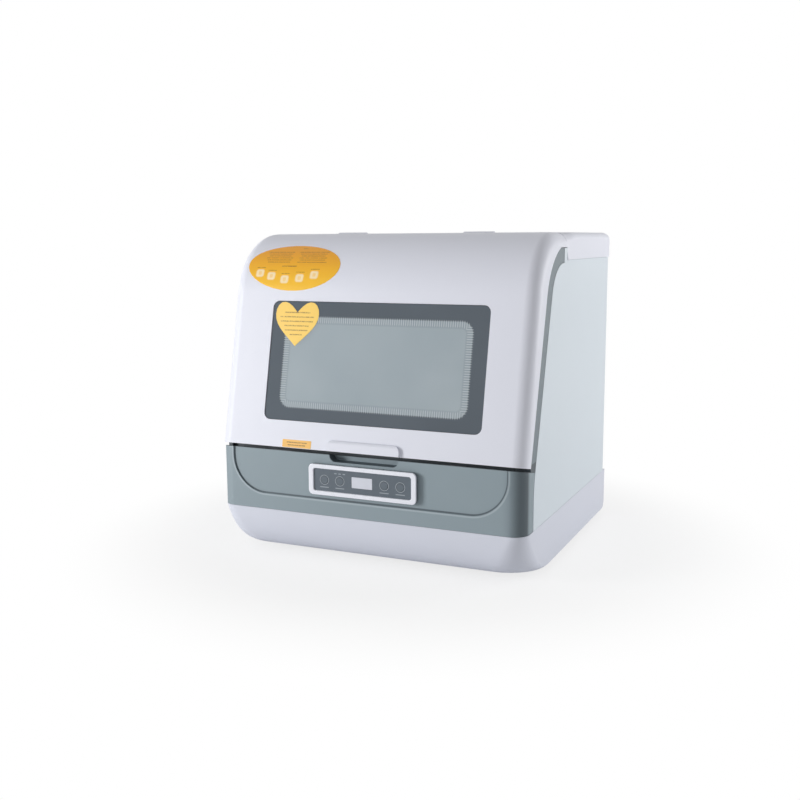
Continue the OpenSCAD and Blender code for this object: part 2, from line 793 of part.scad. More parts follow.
// The shell: one U-shaped section carried along the side view of the door
module door_skin() {
    rings = [for (s = stations) [for (p = section(s[3]))
        [p[0], s[0] + p[1] * cos(s[2]), s[1] - p[1] * sin(s[2])]]];
    n = len(rings[0]);
    m = len(rings);
    walls = [for (j = [0 : m - 2], i = [0 : n - 1])
        [j * n + i, j * n + (i + 1) % n, (j + 1) * n + (i + 1) % n, (j + 1) * n + i]];
    // end faces as quads between the outer and the inner line
    half = n / 2;
    low_end = [for (i = [0 : half - 2]) [i + 1, i, n - 1 - i, n - 2 - i]];
    top_end = [for (i = [0 : half - 2])
        [(m - 1) * n + i, (m - 1) * n + i + 1, (m - 1) * n + n - 2 - i, (m - 1) * n + n - 1 - i]];
    polyhedron(points = [for (ring = rings, p = ring) p], faces = concat(walls, low_end, top_end));
}

grip_low = 0.2;
grip_r = 10;

module door_shell() {
    color(white) placed() difference() {
        union() {
            door_skin();
            // moulded grip, its lower edge level with the shell's
            on_door() intersection() {
                prism_x(concat([[1, grip_low], [-grip_out, grip_low]],
                    reversed(arc_points(1, grip_h - grip_out - 1, grip_out + 1, 90, 180, 6))),
                    -grip_w / 2, grip_w / 2);
                translate([0, 0, -grip_h])
                    prism_y(round_rect(grip_w, 4 * grip_h, grip_r), -grip_out - 1, 2);
            }
        }
        on_door() window_plate(window_w, window_h, window_r, -1, door_wall + 1);
        for (x = [-hinge_x, hinge_x])
            translate([x - notch_half, hinge_y - bead_r - cover_t - 1.2, hinge_z - 14])
                cube([2 * notch_half, 20, 30]);
    }
}

rim_x = side_x - edge_r - 1.5;
rim_t = 2.5;
liner_back = hinge_y - 16;
rail_front = hinge_y - 24;
liner_low = door_z - liner_deep * sin(door_lean) + 1;
liner_half = frame_x - cheek_t - 0.5;
rail_t = 2.2;
door_floor = 0.6;

module door_liner() {
    inner_w = window_w - 2 * window_rim;
    inner_h = window_h - 2 * window_rim;
    color([0.80, 0.83, 0.86]) placed() difference() {
        union() {
            prism_x(visor_band(liner_deep, liner_deep + liner_t, liner_low, liner_back),
                -liner_half, liner_half);
            both_sides() prism_x(visor_band(door_wall + 0.2, liner_deep + 1, door_z + 0.6, rail_front - 1),
                rim_x - rim_t, rim_x);
            // floor of the door
            on_door() prism_z(front_plan(side_x - door_wall - 0.3, door_wall + 0.3, liner_deep + liner_t,
                edge_r - door_wall - 0.3), door_floor, door_floor + liner_t);
            // rear wall of the door
            translate([-rim_x, liner_back - 2, body_h - liner_deep - 1])
                cube([2 * rim_x, 2, liner_deep + 1 - door_wall - rail_t - seat]);
            // tunnel round the window
            on_door() window_plate(inner_w + 5, inner_h + 5, 8, door_wall + glass_t + 2, liner_deep + 1);
        }
        on_door() window_plate(inner_w, inner_h, 6, 0, liner_deep + 10);
        // pockets of the catch plates
        for (x = [-latch_x, latch_x])
            on_door() translate([x - latch_w / 2, latch_y, -1])
                cube([latch_w, latch_d, 1 + door_floor + plate_t]);
    }
}

glass_w = window_w - 2 * seat;
glass_h = window_h - 2 * seat;

module window_glass() {
    color(glass_tint) placed() on_door()
        window_plate(glass_w, glass_h, window_r - seat, glass_set, glass_set + glass_t);
}

module window_gasket() {
    color(rubber) placed() on_door() difference() {
        window_plate(window_w + 12, window_h + 12, window_r + 6, door_wall, door_wall + glass_t + 2);
        window_plate(glass_w, glass_h, window_r - seat, door_wall - 1, glass_set + glass_t);
        window_plate(window_w - 2 * window_rim, window_h - 2 * window_rim, 6, 0,
            door_wall + glass_t + 4);
    }
}

rail_half = side_x - edge_r - 4;
bore_deep = 12;
// Half side view of the rounded end of the rolled edge: [radius, distance from the middle]
function bead_end() = let (a0 = asin((edge_r - bead_r + 0.2) / edge_r)) concat(
    [[0, rail_half - 1], [bead_r, rail_half - 1]],
    [for (i = [0 : 8]) let (a = 90 + (a0 - 90) * i / 8)
        [edge_r * sin(a) - edge_r + bead_r, side_x - edge_r + edge_r * cos(a)]],
    [[0, side_x - edge_r + edge_r * cos(a0)]]);

module hinge_rail() {
    color(white) placed() translate([0, hinge_y, hinge_z]) difference() {
        union() {
            disc_x(bead_r, -rail_half, rail_half);
            both_sides() difference() {
                rotate([0, 90, 0]) rotate_extrude($fn = curve_n) polygon(bead_end());
                translate([rail_half, -30, -20]) cube([30, 30, 40]);
            }
            translate([-rail_half, rail_front - hinge_y, bead_r - door_wall - rail_t])
                cube([2 * rail_half, hinge_y - rail_front, rail_t]);
        }
        translate([-rail_half - 2, -30, bead_r - door_wall]) cube([2 * rail_half + 4, 30, door_wall + 1]);
        for (x = [-hinge_x, hinge_x]) {
            translate([x - notch_half, -bead_r - cover_t - 1.2, -14]) cube([2 * notch_half, 30, 30]);
            disc_x_at(x, pin_r + pin_fit, notch_half + bore_deep);
        }
    }
}

module disc_x_at(x, r, half) {
    translate([x, 0, 0]) disc_x(r, -half, half);
}

plate_t = 1.2;
module catch_plates() {
    color(steel) placed() on_door() for (x = [-latch_x, latch_x])
        translate([x - latch_w / 2 + 0.1, latch_y + 0.1, door_floor])
            cube([latch_w - 0.2, latch_d - 0.2, plate_t]);
}

oval_x = -126.5;
oval_a = 35;
module label_oval() {
    color(orange) placed() intersection() {
        prism_x(visor_band(-label_t, 0, door_z + 60, arc_y), -side_x + edge_r - 1, 0);
        translate([oval_x, arc_y - top_r * cos(oval_a), arc_z + top_r * sin(oval_a)])
            rotate([-oval_a, 0, 0]) rotate([0, 2, 0])
            prism_y([for (i = [0 : 35]) [oval_w / 2 * cos(i * 10), oval_h / 2 * sin(i * 10)]], -30, 30);
    }
}

heart_x = window_x - 114.5;
heart_up = window_up + window_h - 25;
// Heart outline from sines and cosines, scaled to the sticker's width
function heart_points(w) = [for (i = [0 : 35]) let (a = i * 10)
    [w / 2 * sin(a) * abs(sin(a)),
        w / 32 * (13 * cos(a) - 5 * cos(2 * a) - 2 * cos(3 * a) - cos(4 * a))]];
module label_heart() {
    color(yellow) placed() on_door() translate([heart_x, 0, heart_up])
        prism_y(heart_points(heart_w), glass_set - label_t, glass_set);
}

strip_x = -95;
strip_w = 42;
strip_h = 10;
module label_strip() {
    color(yellow) placed() on_door() translate([strip_x, 0, strip_h / 2 + 0.6])
        prism_y(round_rect(strip_w, strip_h, 1, 3), -label_t, 0);
}

// ---------- hinges and catch ----------

module hinge_bracket() {
    foot_back = hinge_y + 26;
    foot_z = body_h - mouth_deep;
    difference() {
        union() {
            translate([-barrel_len / 2, hinge_y - 2, foot_z])
                cube([barrel_len, foot_back - hinge_y + 2, 2.5]);
            translate([-barrel_len / 2, hinge_y - 2, foot_z]) cube([barrel_len, 4, hinge_z - foot_z]);
            translate([0, hinge_y, hinge_z]) disc_x(barrel_r, -barrel_len / 2, barrel_len / 2);
        }
        translate([0, hinge_y, hinge_z]) disc_x(pin_r, -barrel_len, barrel_len);
    }
}

module hinge_bracket_left() { color(steel) placed() translate([-hinge_x, 0, 0]) hinge_bracket(); }
module hinge_bracket_right() { color(steel) placed() translate([hinge_x, 0, 0]) hinge_bracket(); }

module hinge_pins() {
    reach = notch_half + bore_deep - 1;
    color(steel) placed() for (x = [-hinge_x, hinge_x])
        translate([x, hinge_y, hinge_z]) disc_x(pin_r, -reach, reach);
}

module hinge_covers() {
    color(white) placed() for (x = [-hinge_x, hinge_x])
        translate([x, hinge_y, hinge_z]) difference() {
            disc_x(bead_r + cover_t, -barrel_len / 2, barrel_len / 2);
            disc_x(bead_r, -barrel_len, barrel_len);
            translate([-barrel_len, -20, -20 - 1]) cube([2 * barrel_len, 40, 20]);
        }
}

module catch_magnets() {
    color([0.3, 0.3, 0.32]) placed() on_door() for (x = [-latch_x, latch_x])
        translate([x - latch_w / 2 + 0.1, latch_y + 0.1, ledge_up - ledge_t])
            cube([latch_w - 0.2, latch_d - 0.2, ledge_t + 0.4]);
}

module door_switch() {
    color(rubber) placed() on_door() translate([75, latch_y, ledge_up - ledge_t - 7]) cube([22, 12, 7]);
}

// ---------- tub and washing ----------

module tub() {
    deep = mouth_deep + mouth_t;
    color([0.78, 0.82, 0.85]) placed() difference() {
        prism_x(concat(visor(deep, floor_z, tub_back + tub_t), [[tub_back + tub_t, floor_z]]),
            -mouth_x - tub_t, mouth_x + tub_t);
        prism_x(concat(visor(deep + tub_t, tub_z, tub_back), [[tub_back, tub_z]]), -mouth_x, mouth_x);
        // the mouth, above the sill and in front of the head
        prism_x(concat([[lean_y(sill_z, deep - 6), sill_z]], [for (p = visor(deep - 6, sill_z, arc_y)) p],
            [[arc_y + 4, body_h - deep + 6], [arc_y + 4, body_h - deep - tub_t - 4]],
            reversed([for (p = visor(deep + tub_t + 4, sill_z, arc_y)) p])), -mouth_x, mouth_x);
        rod_up(0, post_y, post_r + 3, floor_z - 1, tub_z + 1);
        rod_up(0, filter_y, sump_r, floor_z - 1, tub_z + 1);
        // inlet through the rear wall
        translate([inlet_x, 0, hose_top]) disc_y(5, tub_back - 1, tub_back + tub_t + 1);
    }
}

module tub_seal() {
    near = mouth_deep - seal_t;
    seal_z = fascia_top + 4;
    color(rubber) placed() {
        both_sides() prism_x(visor_band(near, mouth_deep, seal_z, arc_y + 16),
            mouth_x + 3, mouth_x + 3 + seal_w);
        prism_x([[lean_y(seal_z, near), seal_z], [lean_y(seal_z + seal_w, near), seal_z + seal_w],
            [lean_y(seal_z + seal_w, mouth_deep), seal_z + seal_w], [lean_y(seal_z, mouth_deep), seal_z]],
            -mouth_x - 4, mouth_x + 4);
        translate([-mouth_x - 4, arc_y + 16 - seal_w, body_h - mouth_deep])
            cube([2 * mouth_x + 8, seal_w, seal_t]);
    }
}

sump_z = floor_z - sump_deep;
sump_t = 2.4;
stub_r = 9;
stub_t = 1.8;

module sump() {
    color([0.70, 0.73, 0.76]) placed() translate([0, filter_y, 0]) difference() {
        union() {
            translate([0, 0, sump_z]) cylinder(r = sump_r + sump_t, h = sump_deep, $fn = curve_n);
            translate([0, 0, floor_z - 3]) cylinder(r = sump_r + 8, h = 3, $fn = curve_n);
            translate([0, 0, stub_z]) disc_y(stub_r, sump_r - 1, sump_r + 9);
            translate([0, 0, drain_z + 6]) disc_x(7, sump_r - 1, drain_x0);
        }
        translate([0, 0, sump_z + sump_t]) cylinder(r = sump_r, h = sump_deep, $fn = curve_n);
        translate([0, 0, stub_z]) disc_y(stub_r - stub_t, sump_r - 10, sump_r + 12);
        translate([0, 0, drain_z + 6]) disc_x(5.4, sump_r - 10, sump_r + 12);
    }
}

module fine_filter() {
    color(steel) placed() translate([0, filter_y, 0]) difference() {
        translate([0, 0, tub_z]) cylinder(r = fine_r, h = 1.5, $fn = 60);
        translate([0, 0, tub_z - 1]) cylinder(r = filter_r + 0.6, h = 4, $fn = 60);
    }
}

filter_low = sump_z + sump_t + seat;
filter_top = tub_z + 5;
module coarse_filter() {
    color([0.55, 0.58, 0.60]) placed() translate([0, filter_y, 0]) difference() {
        union() {
            translate([0, 0, filter_low]) cylinder(r = filter_r, h = filter_top - filter_low, $fn = 60);
            translate([0, 0, tub_z + 1.5 + seat]) cylinder(r = filter_r + 4, h = 2.4, $fn = 60);
        }
        translate([0, 0, filter_low + 2]) cylinder(r = filter_r - 2, h = filter_top, $fn = 60);
        // slots in the wall
        for (a = [0 : 30 : 330]) rotate(a)
            translate([filter_r - 4, -2.5, filter_low + 5]) cube([8, 5, 22]);
    }
    // cross bar to turn it by
    color([0.55, 0.58, 0.60]) placed() translate([-filter_r + 1, filter_y - 2, filter_top - 8])
        cube([2 * filter_r - 2, 4, 8]);
}

heater_z = tub_z + 8;
module heating_element() {
    color(steel) placed() translate([0, post_y, 0]) {
        translate([0, 0, heater_z]) rotate_extrude($fn = 96)
            translate([heater_ring, 0]) circle(r = heater_r, $fn = 24);
        // clips on the tub's floor
        for (a = [90, 210, 330]) rotate(a) difference() {
            translate([heater_ring - 4, -5, tub_z + 0.1]) cube([8, 10, heater_z - tub_z]);
            translate([heater_ring - 3, -6, tub_z + 2]) cube([6, 12, 2]);
        }
    }
}

arm_z = tub_z + 16;
post_top = arm_z + arm_t + 9;
module spray_post() {
    color([0.62, 0.66, 0.69]) placed() translate([0, post_y, 0]) difference() {
        union() {
            translate([0, 0, pump_top]) cylinder(r = post_r, h = post_top - pump_top, $fn = curve_n);
            translate([0, 0, tub_z + 0.1]) cylinder(r = post_r + 8, h = 3, $fn = curve_n);
            translate([0, 0, arm_z - 4.3]) cylinder(r = post_r + 5, h = 4, $fn = curve_n);
            translate([0, 0, pump_top]) cylinder(r = post_r + 2.6, h = tub_z - pump_top + 1, $fn = curve_n);
        }
        rod_up(0, 0, post_r - 2.5, pump_top - 1, post_top - 4);
        // ports into the spray arm
        for (a = [0 : 90 : 270]) rotate(a) translate([0, 0, arm_z + arm_t / 2]) disc_x(2, 0, post_r + 1);
    }
}

module spray_arm() {
    half = arm_len / 2;
    wall = 1.8;
    color([0.66, 0.70, 0.73]) placed() translate([0, post_y, arm_z]) difference() {
        union() {
            prism_z(round_rect(arm_len, arm_w, arm_w / 2 - 1, 8), 2, arm_t);
            cylinder(r = post_r + 12, h = arm_t, $fn = curve_n);
        }
        prism_z(round_rect(arm_len - 2 * wall, arm_w - 2 * wall, arm_w / 2 - 1 - wall, 8),
            2 + wall, arm_t - wall);
        translate([0, 0, -1]) cylinder(r = post_r + arm_fit, h = arm_t + 2, $fn = curve_n);
        // nozzles in the top
        for (x = [0.25, 0.45, 0.65, 0.85], s = [-1, 1])
            translate([s * x * half, s * (arm_w / 2 - 9), arm_t - 3]) cylinder(r = 1.3, h = 5, $fn = 16);
    }
}

module spray_arm_nut() {
    low = arm_z + arm_t + seat;
    top = post_top + 2.6;
    color(slate) placed() translate([0, post_y, 0]) difference() {
        translate([0, 0, low]) cylinder(r = post_r + 6, h = top - low, $fn = curve_n);
        translate([0, 0, low - 1]) cylinder(r = post_r + 0.1, h = post_top + 1.1 - low, $fn = curve_n);
        // finger grips
        for (a = [0 : 45 : 315]) rotate(a)
            translate([post_r + 7.5, 0, low - 1]) cylinder(r = 3, h = top - low + 2, $fn = 16);
    }
}

// ---------- rack ----------

// The rack's side, front and rear wires lie on these lines
wires_x = rack_w / 2 - rim_d / 2;
wires_y0 = rack_front + rim_d / 2;
wires_y1 = rack_back - rim_d / 2;
cross_n = floor((wires_y1 - wires_y0) / (2 * wire_pitch));
cross_ys = [for (j = [1 : cross_n - 1]) wires_y0 + j * (wires_y1 - wires_y0) / cross_n];
inner = rim_flat + seam;

module rack_basket() {
    top = rack_z + rack_h - rim_d / 2;
    nx = floor((wires_x - 6) / wire_pitch);
    color([0.86, 0.88, 0.90]) placed() {
        // rim and floor frame, the side wires between the front and rear ones
        for (z = [rack_z, top]) {
            for (y = [wires_y0, wires_y1]) rod_x(-wires_x - rim_d / 2, wires_x + rim_d / 2, y, z, rim_d);
            for (x = [-wires_x, wires_x]) rod_y(x, wires_y0 + inner, wires_y1 - inner, z, rim_d);
        }
        // floor wires, and cross wires under them
        for (i = [-nx : nx])
            rod_y(i * wire_pitch, wires_y0 + inner, wires_y1 - inner, rack_z + wire_up, wire_d);
        for (y = cross_ys)
            rod_x(-wires_x + inner, wires_x - inner, y, rack_z + wire_up - 2 * wire_flat - seam, wire_d);
        // upright wires
        for (i = [-nx : 2 : nx], y = [wires_y0, wires_y1])
            rod_z(i * wire_pitch, y, rack_z + inner, top - inner, wire_d);
        for (y = cross_ys, x = [-wires_x, wires_x]) rod_z(x, y, rack_z + inner, top - inner, wire_d);
        // feet wires
        for (x = [-wires_x, wires_x], y = foot_ys) rod_z(x, y, tub_z + 8, rack_z - inner, leg_d);
    }
}

leg_d = wire_d + 1;
foot_ys = [rack_front + 14, rack_back - 14];

module rack_feet() {
    color([0.55, 0.58, 0.62]) placed() for (x = [-wires_x, wires_x], y = foot_ys)
        translate([x, y, 0]) difference() {
            translate([0, 0, tub_z + 0.1]) cylinder(r = 5.5, h = 18, $fn = 24);
            translate([0, 0, tub_z + 8]) rotate(22.5) cylinder(d = leg_d, h = 30, $fn = 8);
        }
}

tine_ys = [0.30, 0.52];
module rack_tines() {
    low = rack_z + wire_up + 2 * wire_flat + seam;
    x0 = -rack_w / 2 + 24;
    n = floor((basket_x - 14 - x0) / tine_pitch);
    color([0.86, 0.88, 0.90]) placed() for (k = tine_ys) {
        y = rack_front + k * rack_d;
        rod_x(x0 - 4, x0 + n * tine_pitch + 4, y, low, wire_d);
        for (i = [0 : n]) rod_z(x0 + i * tine_pitch, y, low + wire_flat + seam, low + tine_h, wire_d);
    }
}

module cutlery_basket() {
    wall = 1.8;
    edge = wall + seam;
    color([0.62, 0.66, 0.70]) placed() translate([basket_x, basket_y, basket_z]) {
        // floor with holes
        difference() {
            cube([basket_w, basket_l, wall]);
            for (i = [0 : 3], j = [0 : 7])
                translate([7 + i * (basket_w - 12) / 4, 8 + j * (basket_l - 14) / 8, -1]) cube([6, 6, 4]);
        }
        // long sides with slots
        for (x = [0, basket_w - wall]) difference() {
            translate([x, 0, edge]) cube([wall, basket_l, basket_h - edge]);
            for (j = [0 : 9])
                translate([x - 1, 6 + j * (basket_l - 12) / 9.6, 8]) cube([wall + 2, 5, basket_h - 20]);
        }
        // ends, and the wall between the two compartments
        for (y = [0, (basket_l - wall) / 2, basket_l - wall])
            translate([edge, y, edge]) cube([basket_w - 2 * edge, wall, basket_h - edge]);
    }
}

// ---------- pumps and water ----------

shaft_r = 3;
shaft_fit = 0.06;
shaft_len = 24;                                // of the part of the shaft inside the motor
pump_h = 32;
pump_low = pump_top - pump_h;
module wash_pump_housing() {
    low = pump_low;
    color([0.35, 0.37, 0.40]) placed() translate([0, pump_y, 0]) difference() {
        union() {
            translate([0, 0, low]) cylinder(r = pump_r, h = pump_h, $fn = curve_n);
            translate([0, 0, stub_z]) disc_y(stub_r, -pump_r - 8, -pump_r + 3);
        }
        translate([0, 0, low + 3]) cylinder(r = pump_r - 3, h = pump_h - 6, $fn = curve_n);
        translate([0, 0, pump_top - 4]) cylinder(r = post_r - 2.5, h = 6, $fn = curve_n);
        translate([0, 0, low - 1]) cylinder(r = shaft_r + shaft_fit, h = 6, $fn = 24);
        translate([0, 0, stub_z]) disc_y(stub_r - stub_t, -pump_r - 10, -pump_r + 8);
    }
}

module wash_motor() {
    color(steel) placed() translate([0, pump_y, 0]) difference() {
        translate([0, 0, motor_z]) cylinder(r = motor_r, h = pump_low - motor_z, $fn = curve_n);
        translate([0, 0, pump_low - shaft_len - 2])
            cylinder(r = shaft_r + shaft_fit, h = shaft_len + 4, $fn = 24);
    }
}

module wash_impeller() {
    low = pump_low;
    color([0.85, 0.85, 0.83]) placed() translate([0, pump_y, 0]) {
        translate([0, 0, low - shaft_len]) cylinder(r = shaft_r, h = shaft_len + 10, $fn = 24);
        translate([0, 0, low + 5]) cylinder(r = pump_r - 8, h = 3, $fn = curve_n);
        for (a = [0 : 60 : 300]) rotate(a) translate([7, -1, low + 7]) cube([pump_r - 16, 2, 9]);
        translate([0, 0, low + 7]) cylinder(r = 8, h = 9, $fn = 24);
    }
}

module suction_sleeve() {
    y0 = filter_y + sump_r + sump_t + 0.8;
    y1 = pump_y - pump_r - 1;
    color(rubber) placed() translate([0, 0, stub_z]) difference() {
        disc_y(stub_r + 2.6, y0 + 1, y1 - 1);
        disc_y(stub_r + 0.1, y0, y1);
    }
}

drain_r0 = 22;
drain_x0 = sump_r + 11;
drain_x1 = drain_x + 22;
module drain_pump_housing() {
    color([0.35, 0.37, 0.40]) placed() translate([0, drain_y, drain_z]) difference() {
        union() {
            disc_x(drain_r0, drain_x0, drain_x1);
            translate([spigot_x, 0, 0]) disc_y(drain_r, 0, drain_r0 + 12);
        }
        disc_x(drain_r0 - 3, drain_x0 + 3, drain_x0 + 26);
        translate([0, 0, 6]) disc_x(5.4, drain_x0 - 1, drain_x0 + 8);
        disc_x(2.06, drain_x0 + 20, drain_x1 - 4);
        translate([spigot_x, 0, 0]) disc_y(drain_r - 2, 6, drain_r0 + 14);
    }
}

module drain_impeller() {
    color([0.85, 0.85, 0.83]) placed() translate([0, drain_y, drain_z]) {
        disc_x(2, drain_x0 + 8, drain_x1 - 8);
        disc_x(5, drain_x0 + 8, drain_x0 + 22);
        for (a = [0 : 90 : 270]) rotate([a, 0, 0])
            translate([drain_x0 + 8, 3, -1]) cube([14, drain_r0 - 8, 2]);
    }
}

hose_y0 = drain_y + drain_r0 + 12;
hose_y1 = body_d - 24;
rib_pitch = 8;
module drain_hose() {
    color([0.45, 0.47, 0.50]) placed() translate([spigot_x, 0, drain_z]) difference() {
        union() {
            disc_y(drain_r, hose_y0, hose_y1);
            for (y = [hose_y0 + 10 : rib_pitch : hose_y1 - 20]) disc_y_at(y, drain_r + 1.4, rib_pitch / 2);
        }
        disc_y(drain_r - 2, hose_y0 - 1, hose_y1 + 1);
    }
}

module disc_y_at(y, r, w) {
    disc_y(r, y - w / 2, y + w / 2);
}

module drain_spigot() {
    color([0.45, 0.47, 0.50]) placed() translate([spigot_x, 0, drain_z]) difference() {
        union() {
            disc_y(drain_r, hose_y1, body_d + drain_len);
            disc_y(drain_r + shoulder, body_d - 7, body_d + 1);
            disc_y(drain_r + 4, body_d - 8.3, body_d - rear_t - seat);
        }
        disc_y(drain_r - 2, hose_y1 - 6, body_d + drain_len + 1);
    }
}

module inlet_connector() {
    color([0.82, 0.83, 0.85]) placed() translate([inlet_x, 0, inlet_z]) difference() {
        union() {
            disc_y(inlet_r, body_d - 3, body_d + inlet_len);
            disc_y(inlet_r + shoulder, body_d - 3, body_d + 1);
            disc_y(inlet_r + 4, body_d - 3, body_d - rear_t - seat);
        }
        disc_y(inlet_r - 4, body_d - 4, body_d + inlet_len + 1);
    }
}

hose_r = 6;
hose_y = (tub_back + tub_t + body_d) / 2 + 1;
hose_top = tub_z + 122;
module inlet_valve() {
    color([0.88, 0.88, 0.86]) placed() translate([inlet_x, 0, inlet_z]) {
        translate([-16, valve_back - 44, -20]) cube([32, 44, 34]);
        translate([0, hose_y, 14 - tiny]) cylinder(r = hose_r - 1.6, h = 10, $fn = 24);
        translate([-12, valve_back - 42, 14 - tiny]) cube([24, 18, 14]);
    }
}

module inlet_hose() {
    low = inlet_z + 14.2;
    bend = hose_y - tub_back - tub_t;
    color([0.45, 0.47, 0.50]) placed() translate([inlet_x, hose_y, 0]) {
        tube_z(hose_r, hose_r - 1.5, low, hose_top - bend);
        translate([0, -bend, hose_top - bend]) rotate([0, 0, 90]) rotate([90, 0, 0])
            rotate_extrude(angle = 90, $fn = 60) translate([bend, 0]) difference() {
                circle(r = hose_r, $fn = 24);
                circle(r = hose_r - 1.5, $fn = 24);
            }
    }
}

module power_board() {
    color(board_green) placed() translate([board_x, board_y0, board_z]) {
        cube([board_w, board_d, 1.6]);
        // transformer, relays and capacitors
        translate([4, 38, 1.6 - tiny]) cube([40, 34, 26]);
        translate([4, 6, 1.6 - tiny]) cube([28, 22, 20]);
        translate([38, 8, 1.6 - tiny]) cube([18, 16, 16]);
        for (i = [0 : 2]) translate([66, 18 + i * 26, 1.6 - tiny]) cylinder(r = 8, h = 22, $fn = 24);
    }
}

module cord_gland() {
    color(rubber) placed() translate([gland_x, 0, gland_z]) difference() {
        union() {
            disc_y(gland_r + 2.9, body_d - 6, body_d + 6);
            disc_y(gland_r + 6, body_d + 0.05, body_d + 3);
        }
        disc_y(gland_r, body_d - 8, body_d + 8);
    }
}

module case_screws() {
    color(steel) placed() for (p = screw_places) translate([p[0], 0, p[1]]) {
        disc_y(screw_r, body_d - 9, body_d + 0.5);
        disc_y(screw_r + 1.8, body_d + 0.1, body_d + 2);
    }
}

foot_places = [for (x = [-1, 1], y = [foot_front, body_d - 44]) [x * (side_x - foot_inset), y]];
module feet() {
    color(rubber) placed() for (p = foot_places)
        translate([p[0], p[1], -foot_h]) cylinder(r1 = foot_r - 2, r2 = foot_r, h = foot_h, $fn = curve_n);
}

base_tray();
side_panel_left();
side_panel_right();
rear_panel();
top_cap();
front_frame();
control_bezel();
control_overlay();
display_lens();
display_module();
control_board();
key_1();
key_2();
key_3();
key_4();
door_shell();
door_liner();
window_glass();
window_gasket();
hinge_rail();
catch_plates();
label_oval();
label_heart();
label_strip();
hinge_bracket_left();
hinge_bracket_right();
hinge_pins();
hinge_covers();
catch_magnets();
door_switch();
tub();
tub_seal();
sump();
fine_filter();
coarse_filter();
heating_element();
spray_post();
spray_arm();
spray_arm_nut();
rack_basket();
rack_tines();
rack_feet();
cutlery_basket();
wash_pump_housing();
wash_motor();
wash_impeller();
suction_sleeve();
drain_pump_housing();
drain_impeller();
drain_hose();
drain_spigot();
inlet_connector();
inlet_valve();
inlet_hose();
power_board();
cord_gland();
case_screws();
feet();
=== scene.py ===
"""A countertop dishwasher with a lift-up front door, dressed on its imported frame."""

import functools
import json
import math

import bmesh
import bpy
from mathutils import Matrix, Vector


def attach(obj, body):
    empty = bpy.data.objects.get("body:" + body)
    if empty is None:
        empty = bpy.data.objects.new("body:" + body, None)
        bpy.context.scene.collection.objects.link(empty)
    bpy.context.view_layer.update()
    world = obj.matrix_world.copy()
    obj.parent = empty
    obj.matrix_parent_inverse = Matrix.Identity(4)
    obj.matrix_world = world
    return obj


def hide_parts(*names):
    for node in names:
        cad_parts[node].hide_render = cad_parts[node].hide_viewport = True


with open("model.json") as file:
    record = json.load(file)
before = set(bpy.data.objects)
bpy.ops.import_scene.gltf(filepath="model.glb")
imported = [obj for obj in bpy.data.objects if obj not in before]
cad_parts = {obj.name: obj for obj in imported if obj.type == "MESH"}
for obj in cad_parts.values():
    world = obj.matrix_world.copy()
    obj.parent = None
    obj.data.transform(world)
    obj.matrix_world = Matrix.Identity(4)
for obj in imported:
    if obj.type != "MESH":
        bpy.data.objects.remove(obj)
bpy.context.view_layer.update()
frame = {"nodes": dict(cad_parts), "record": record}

# Sizes in millimetres: x to the right, y back from the front face, z up from the underside
ROW_Y = -200.5
ROW_Z = 8
SIDE = 212.5
BODY_H = 418
DOOR_Z = 145
LEAN = math.radians(12.3)
CURVE_R = 96
CURVE_Z = BODY_H - CURVE_R
FLAT_LEN = (CURVE_Z - DOOR_Z + CURVE_R * math.sin(LEAN)) / math.cos(LEAN)
CURVE_Y = FLAT_LEN * math.sin(LEAN) + CURVE_R * math.cos(LEAN)
HINGE_BACK = 29.1
HINGE_Y = CURVE_Y + HINGE_BACK
EDGE_R = 18
CAP_SIDE = 213.5
CAP_R = 10
CAP_FRONT = HINGE_Y + 0.8
CAP_BLEND = 36
SWING_R = EDGE_R + 0.5
SWING_BACK = 5.5
GLASS_X = 3.5
COMB_UP = 111.5
COMB_HALF_W = 130
COMB_HALF_H = 59
COMB_R = 15
COMB_INSET = -3.4
OVAL_X = -126.5
OVAL_TURN = math.radians(35)
POCKET_DEEP = 17
PANEL_Z = 108
BEZEL_OUT = 5
BEZEL_HALF_W = 74.6
BEZEL_HALF_H = 19.6
BEZEL_R = 5.6
RECESS_HALF = 191
RECESS_R = 48
RECESS_MID = 231

TO_ROW = Matrix.Scale(0.001, 4) @ Matrix.Translation((0, ROW_Y, ROW_Z))


# ---------- finishes ----------


def tone(red, green, blue):
    """A colour as seen on screen, 0 to 255, for a socket."""
    shares = [c / 255 for c in (red, green, blue)]
    return [c / 12.92 if c <= 0.04045 else ((c + 0.055) / 1.055) ** 2.4 for c in shares] + [1.0]


